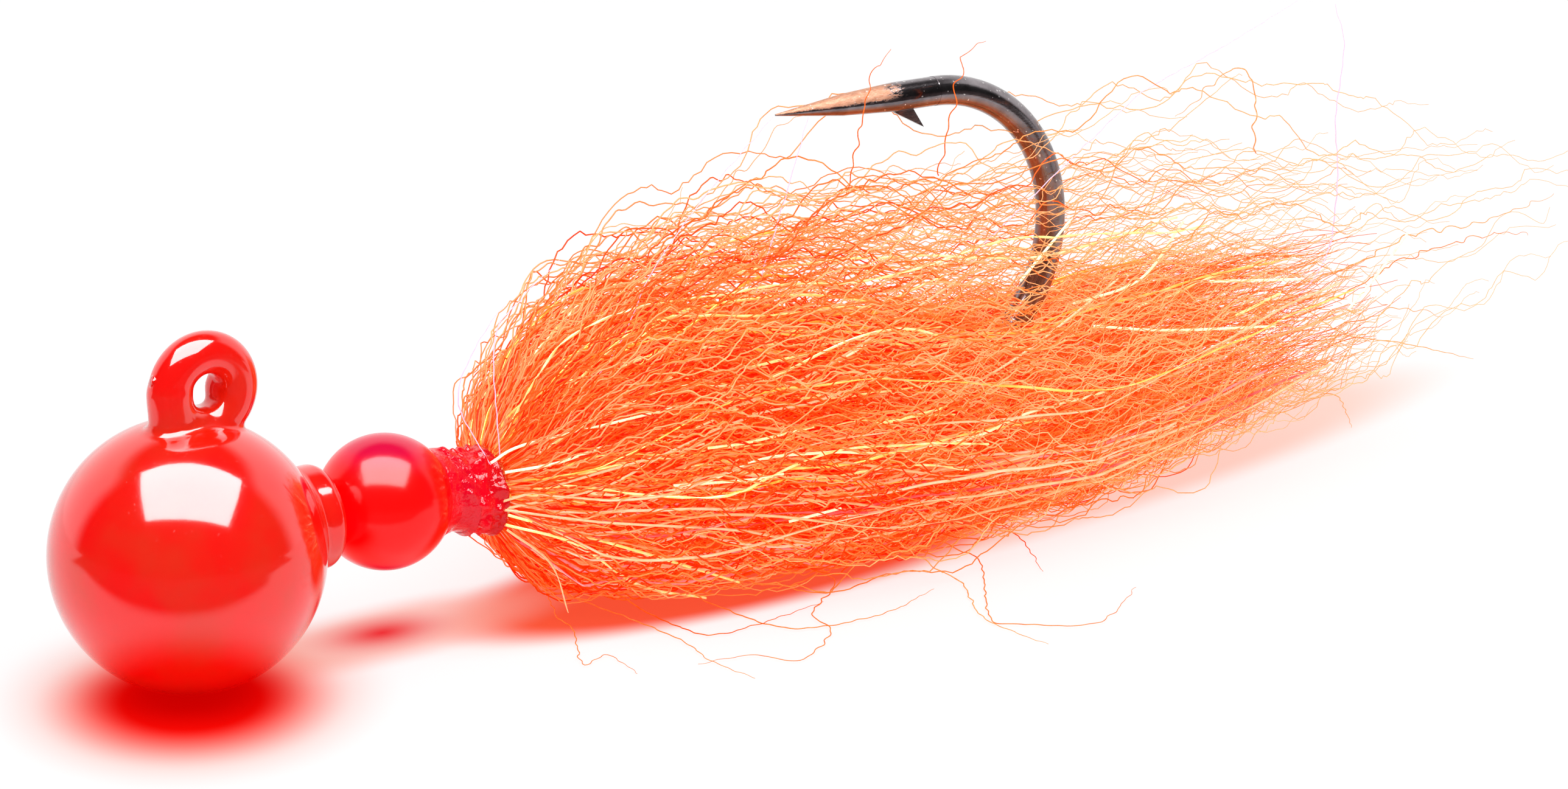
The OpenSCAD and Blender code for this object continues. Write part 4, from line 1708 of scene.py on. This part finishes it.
@dataclass
class Studio:
    """Camera, pale floor, soft lamps and a white surround."""

    layout: Layout
    azimuth: float = -34.817
    elevation: float = 17.976
    camera_at: tuple[float, float, float] = (-151.221, -262.003, 105.025)
    frame_wide: float = 2576.0
    focal_pixels: float = 12295.6
    sensor: float = 36.0
    box_toward: tuple[float, float, float] = (-0.094, -0.266, 0.960)
    box_far: float = 0.30
    box_size: tuple[float, float] = (0.42, 0.29)
    light_power: float = 0.75
    face_power: float = 4.6
    ambient: float = 0.68

    def build(self) -> None:
        """Set the camera, the floor, the lamps and the world."""
        self.camera()
        self.floor()
        self.lamps()
        self.surround()
        bpy.context.scene.view_settings.view_transform = "Standard"

    def camera(self) -> None:
        """Set the camera at its place, with a long lens and no shift."""
        az, el = math.radians(self.azimuth), math.radians(self.elevation)
        back = Vector((math.sin(az) * math.cos(el), -math.cos(az) * math.cos(el), math.sin(el)))
        right = Vector((math.cos(az), math.sin(az), 0.0))
        up = back.cross(right)
        data = bpy.data.cameras.new("camera")
        data.sensor_width = self.sensor
        data.lens = self.focal_pixels / self.frame_wide * self.sensor
        data.clip_start = 0.01
        data.clip_end = 10.0
        camera = bpy.data.objects.new("camera", data)
        turn = Matrix((right, up, back)).transposed().to_4x4()
        spot = self.layout.centre + Vector(self.camera_at) * MM
        camera.matrix_world = Matrix.Translation(spot) @ turn
        bpy.context.scene.collection.objects.link(camera)
        bpy.context.scene.camera = camera

    def floor(self) -> None:
        """Add the pale floor, with painted warm shadows where the lure shades it and a painted fall-off in its
        reflection.
        """
        deselect()
        height = self.layout.centre.z - self.layout.ball_r * MM
        bpy.ops.mesh.primitive_plane_add(size=6.0, location=(0, 0, height))
        floor = bpy.context.object
        floor.name = "floor"
        bpy.ops.object.transform_apply(location=True)
        material, shop = new_material("pale_floor")
        point = shop.object_point()
        colour: Value | Colour = WHITE
        # Painted shadows: each pool blends its colour into the floor's white.
        for pool in PAINTED_FLOOR_SHADOWS:
            colour = shop.blend(pool.mask(shop, point, self.layout.centre), colour, pool.colour)
        camera_ray = shop.node("ShaderNodeLightPath", output="Is Camera Ray")
        glossy_ray = shop.node("ShaderNodeLightPath", output="Is Glossy Ray")
        matt = shop.node("ShaderNodeBsdfDiffuse", inputs={"Color": colour})
        glow = shop.node("ShaderNodeEmission", inputs={"Color": colour, "Strength": 1.0})
        seen = shop.node("ShaderNodeMixShader", inputs={0: camera_ray * 0.78, 1: matt, 2: glow})
        # Painted reflection: seen in reflections, the floor is bright near the ball and the hook and fades to a
        # dim colour towards the camera.
        by_ball = PaintedFloorPool((0.0, 0.0), self.azimuth, (60.0, 15.0), 18.0, WHITE)
        by_ball = by_ball.mask(shop, point, self.layout.centre)
        by_hook = PaintedFloorPool((50.0, -24.0), 0.0, (28.0, 26.0), 8.0, WHITE)
        by_hook = by_hook.mask(shop, point, self.layout.centre)
        away = math.radians(self.azimuth)
        beyond = shop.split(point, 0) * -math.sin(away) + shop.split(point, 1) * math.cos(away)
        share = (by_ball + by_hook + beyond.step(3.0 * MM, 14.0 * MM)).step(0.0, 1.0)
        lit = shop.blend(share, DIM, colour)
        mirrored = shop.node("ShaderNodeEmission", inputs={"Color": lit, "Strength": 0.95})
        mixed = shop.node("ShaderNodeMixShader", inputs={0: glossy_ray, 1: seen, 2: mirrored})
        shop.node("ShaderNodeOutputMaterial", inputs={"Surface": mixed})
        floor.data.materials.append(material)

    def lamps(self) -> None:
        """Add the overhead soft box: its even light, and its bright face for the highlights."""
        self.lamp("soft_light", self.light_power, self.box_far * 1.04, glossy=False)
        self.lamp("soft_face", self.face_power, self.box_far, glossy=True)

    def lamp(self, name: str, power: float, far: float, glossy: bool) -> None:
        """Add one area lamp above the ball, square to the camera.

        Args:
            name: The lamp's name.
            power: Its power, in watts.
            far: Its distance from the ball, in metres.
            glossy: Whether it is for highlights or for the diffuse light.
        """
        data = bpy.data.lights.new(name, "AREA")
        data.shape = "RECTANGLE"
        data.size, data.size_y = self.box_size
        data.energy = power
        lamp = bpy.data.objects.new(name, data)
        toward = Vector(self.box_toward).normalized()
        right = Vector((math.cos(math.radians(self.azimuth)), math.sin(math.radians(self.azimuth)), 0.0))
        side = (right - right.dot(toward) * toward).normalized()
        turn = Matrix((side, toward.cross(side), toward)).transposed().to_4x4()
        lamp.matrix_world = Matrix.Translation(self.layout.centre + toward * far) @ turn
        lamp.visible_glossy = glossy
        lamp.visible_transmission = glossy
        lamp.visible_diffuse = not glossy
        bpy.context.scene.collection.objects.link(lamp)

    def surround(self) -> None:
        """Light the scene evenly, and show white to the camera and to low reflections."""
        world = bpy.data.worlds.new("surround")
        world.use_nodes = True
        bpy.context.scene.world = world
        shop = Shop(world.node_tree)
        direction = shop.node("ShaderNodeTexCoord", output="Generated")
        up = shop.split(direction, 2)
        away = Vector((-math.sin(math.radians(self.azimuth)), math.cos(math.radians(self.azimuth))))
        behind = shop.split(direction, 0) * away.x + shop.split(direction, 1) * away.y
        white_card = up.step(0.80, 0.62) * behind.step(0.05, 0.32)
        camera_ray = shop.node("ShaderNodeLightPath", output="Is Camera Ray")
        glossy_ray = shop.node("ShaderNodeLightPath", output="Is Glossy Ray")
        clear_ray = shop.node("ShaderNodeLightPath", output="Is Transmission Ray")
        ambient = self.ambient
        seen = white_card * 1.1 + 0.03
        mirror = glossy_ray * (seen - ambient) + ambient
        strength = (camera_ray + clear_ray).step(0.0, 1.0) * (1.0 - mirror) + mirror
        sky = shop.node("ShaderNodeBackground", inputs={"Color": WHITE, "Strength": strength})
        shop.node("ShaderNodeOutputWorld", inputs={"Surface": sky})


def main() -> None:
    """Build the lure's looks piece by piece."""
    logging.basicConfig(level=logging.INFO, format="%(name)s %(message)s")
    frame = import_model()
    nodes = frame["nodes"]
    layout = Layout.from_frame()
    PaintFilm(layout).build()
    dress_node(nodes["lead_head"], CastLead().material())
    hook_finish = BlackNickel(worn_end=WORN_END_X * MM + layout.centre.x,
                              worn_height=layout.hook_top * MM + layout.centre.z)
    dress_node(nodes["hook"], hook_finish.material())
    Bead(layout).build()
    Tie(layout, nodes).build()
    hair = HairField(layout)
    Skirt(layout, hair).build()
    Flash(layout, hair).build()
    Strays(layout).build()
    Studio(layout).build()


if __name__ == "__main__":
    main()
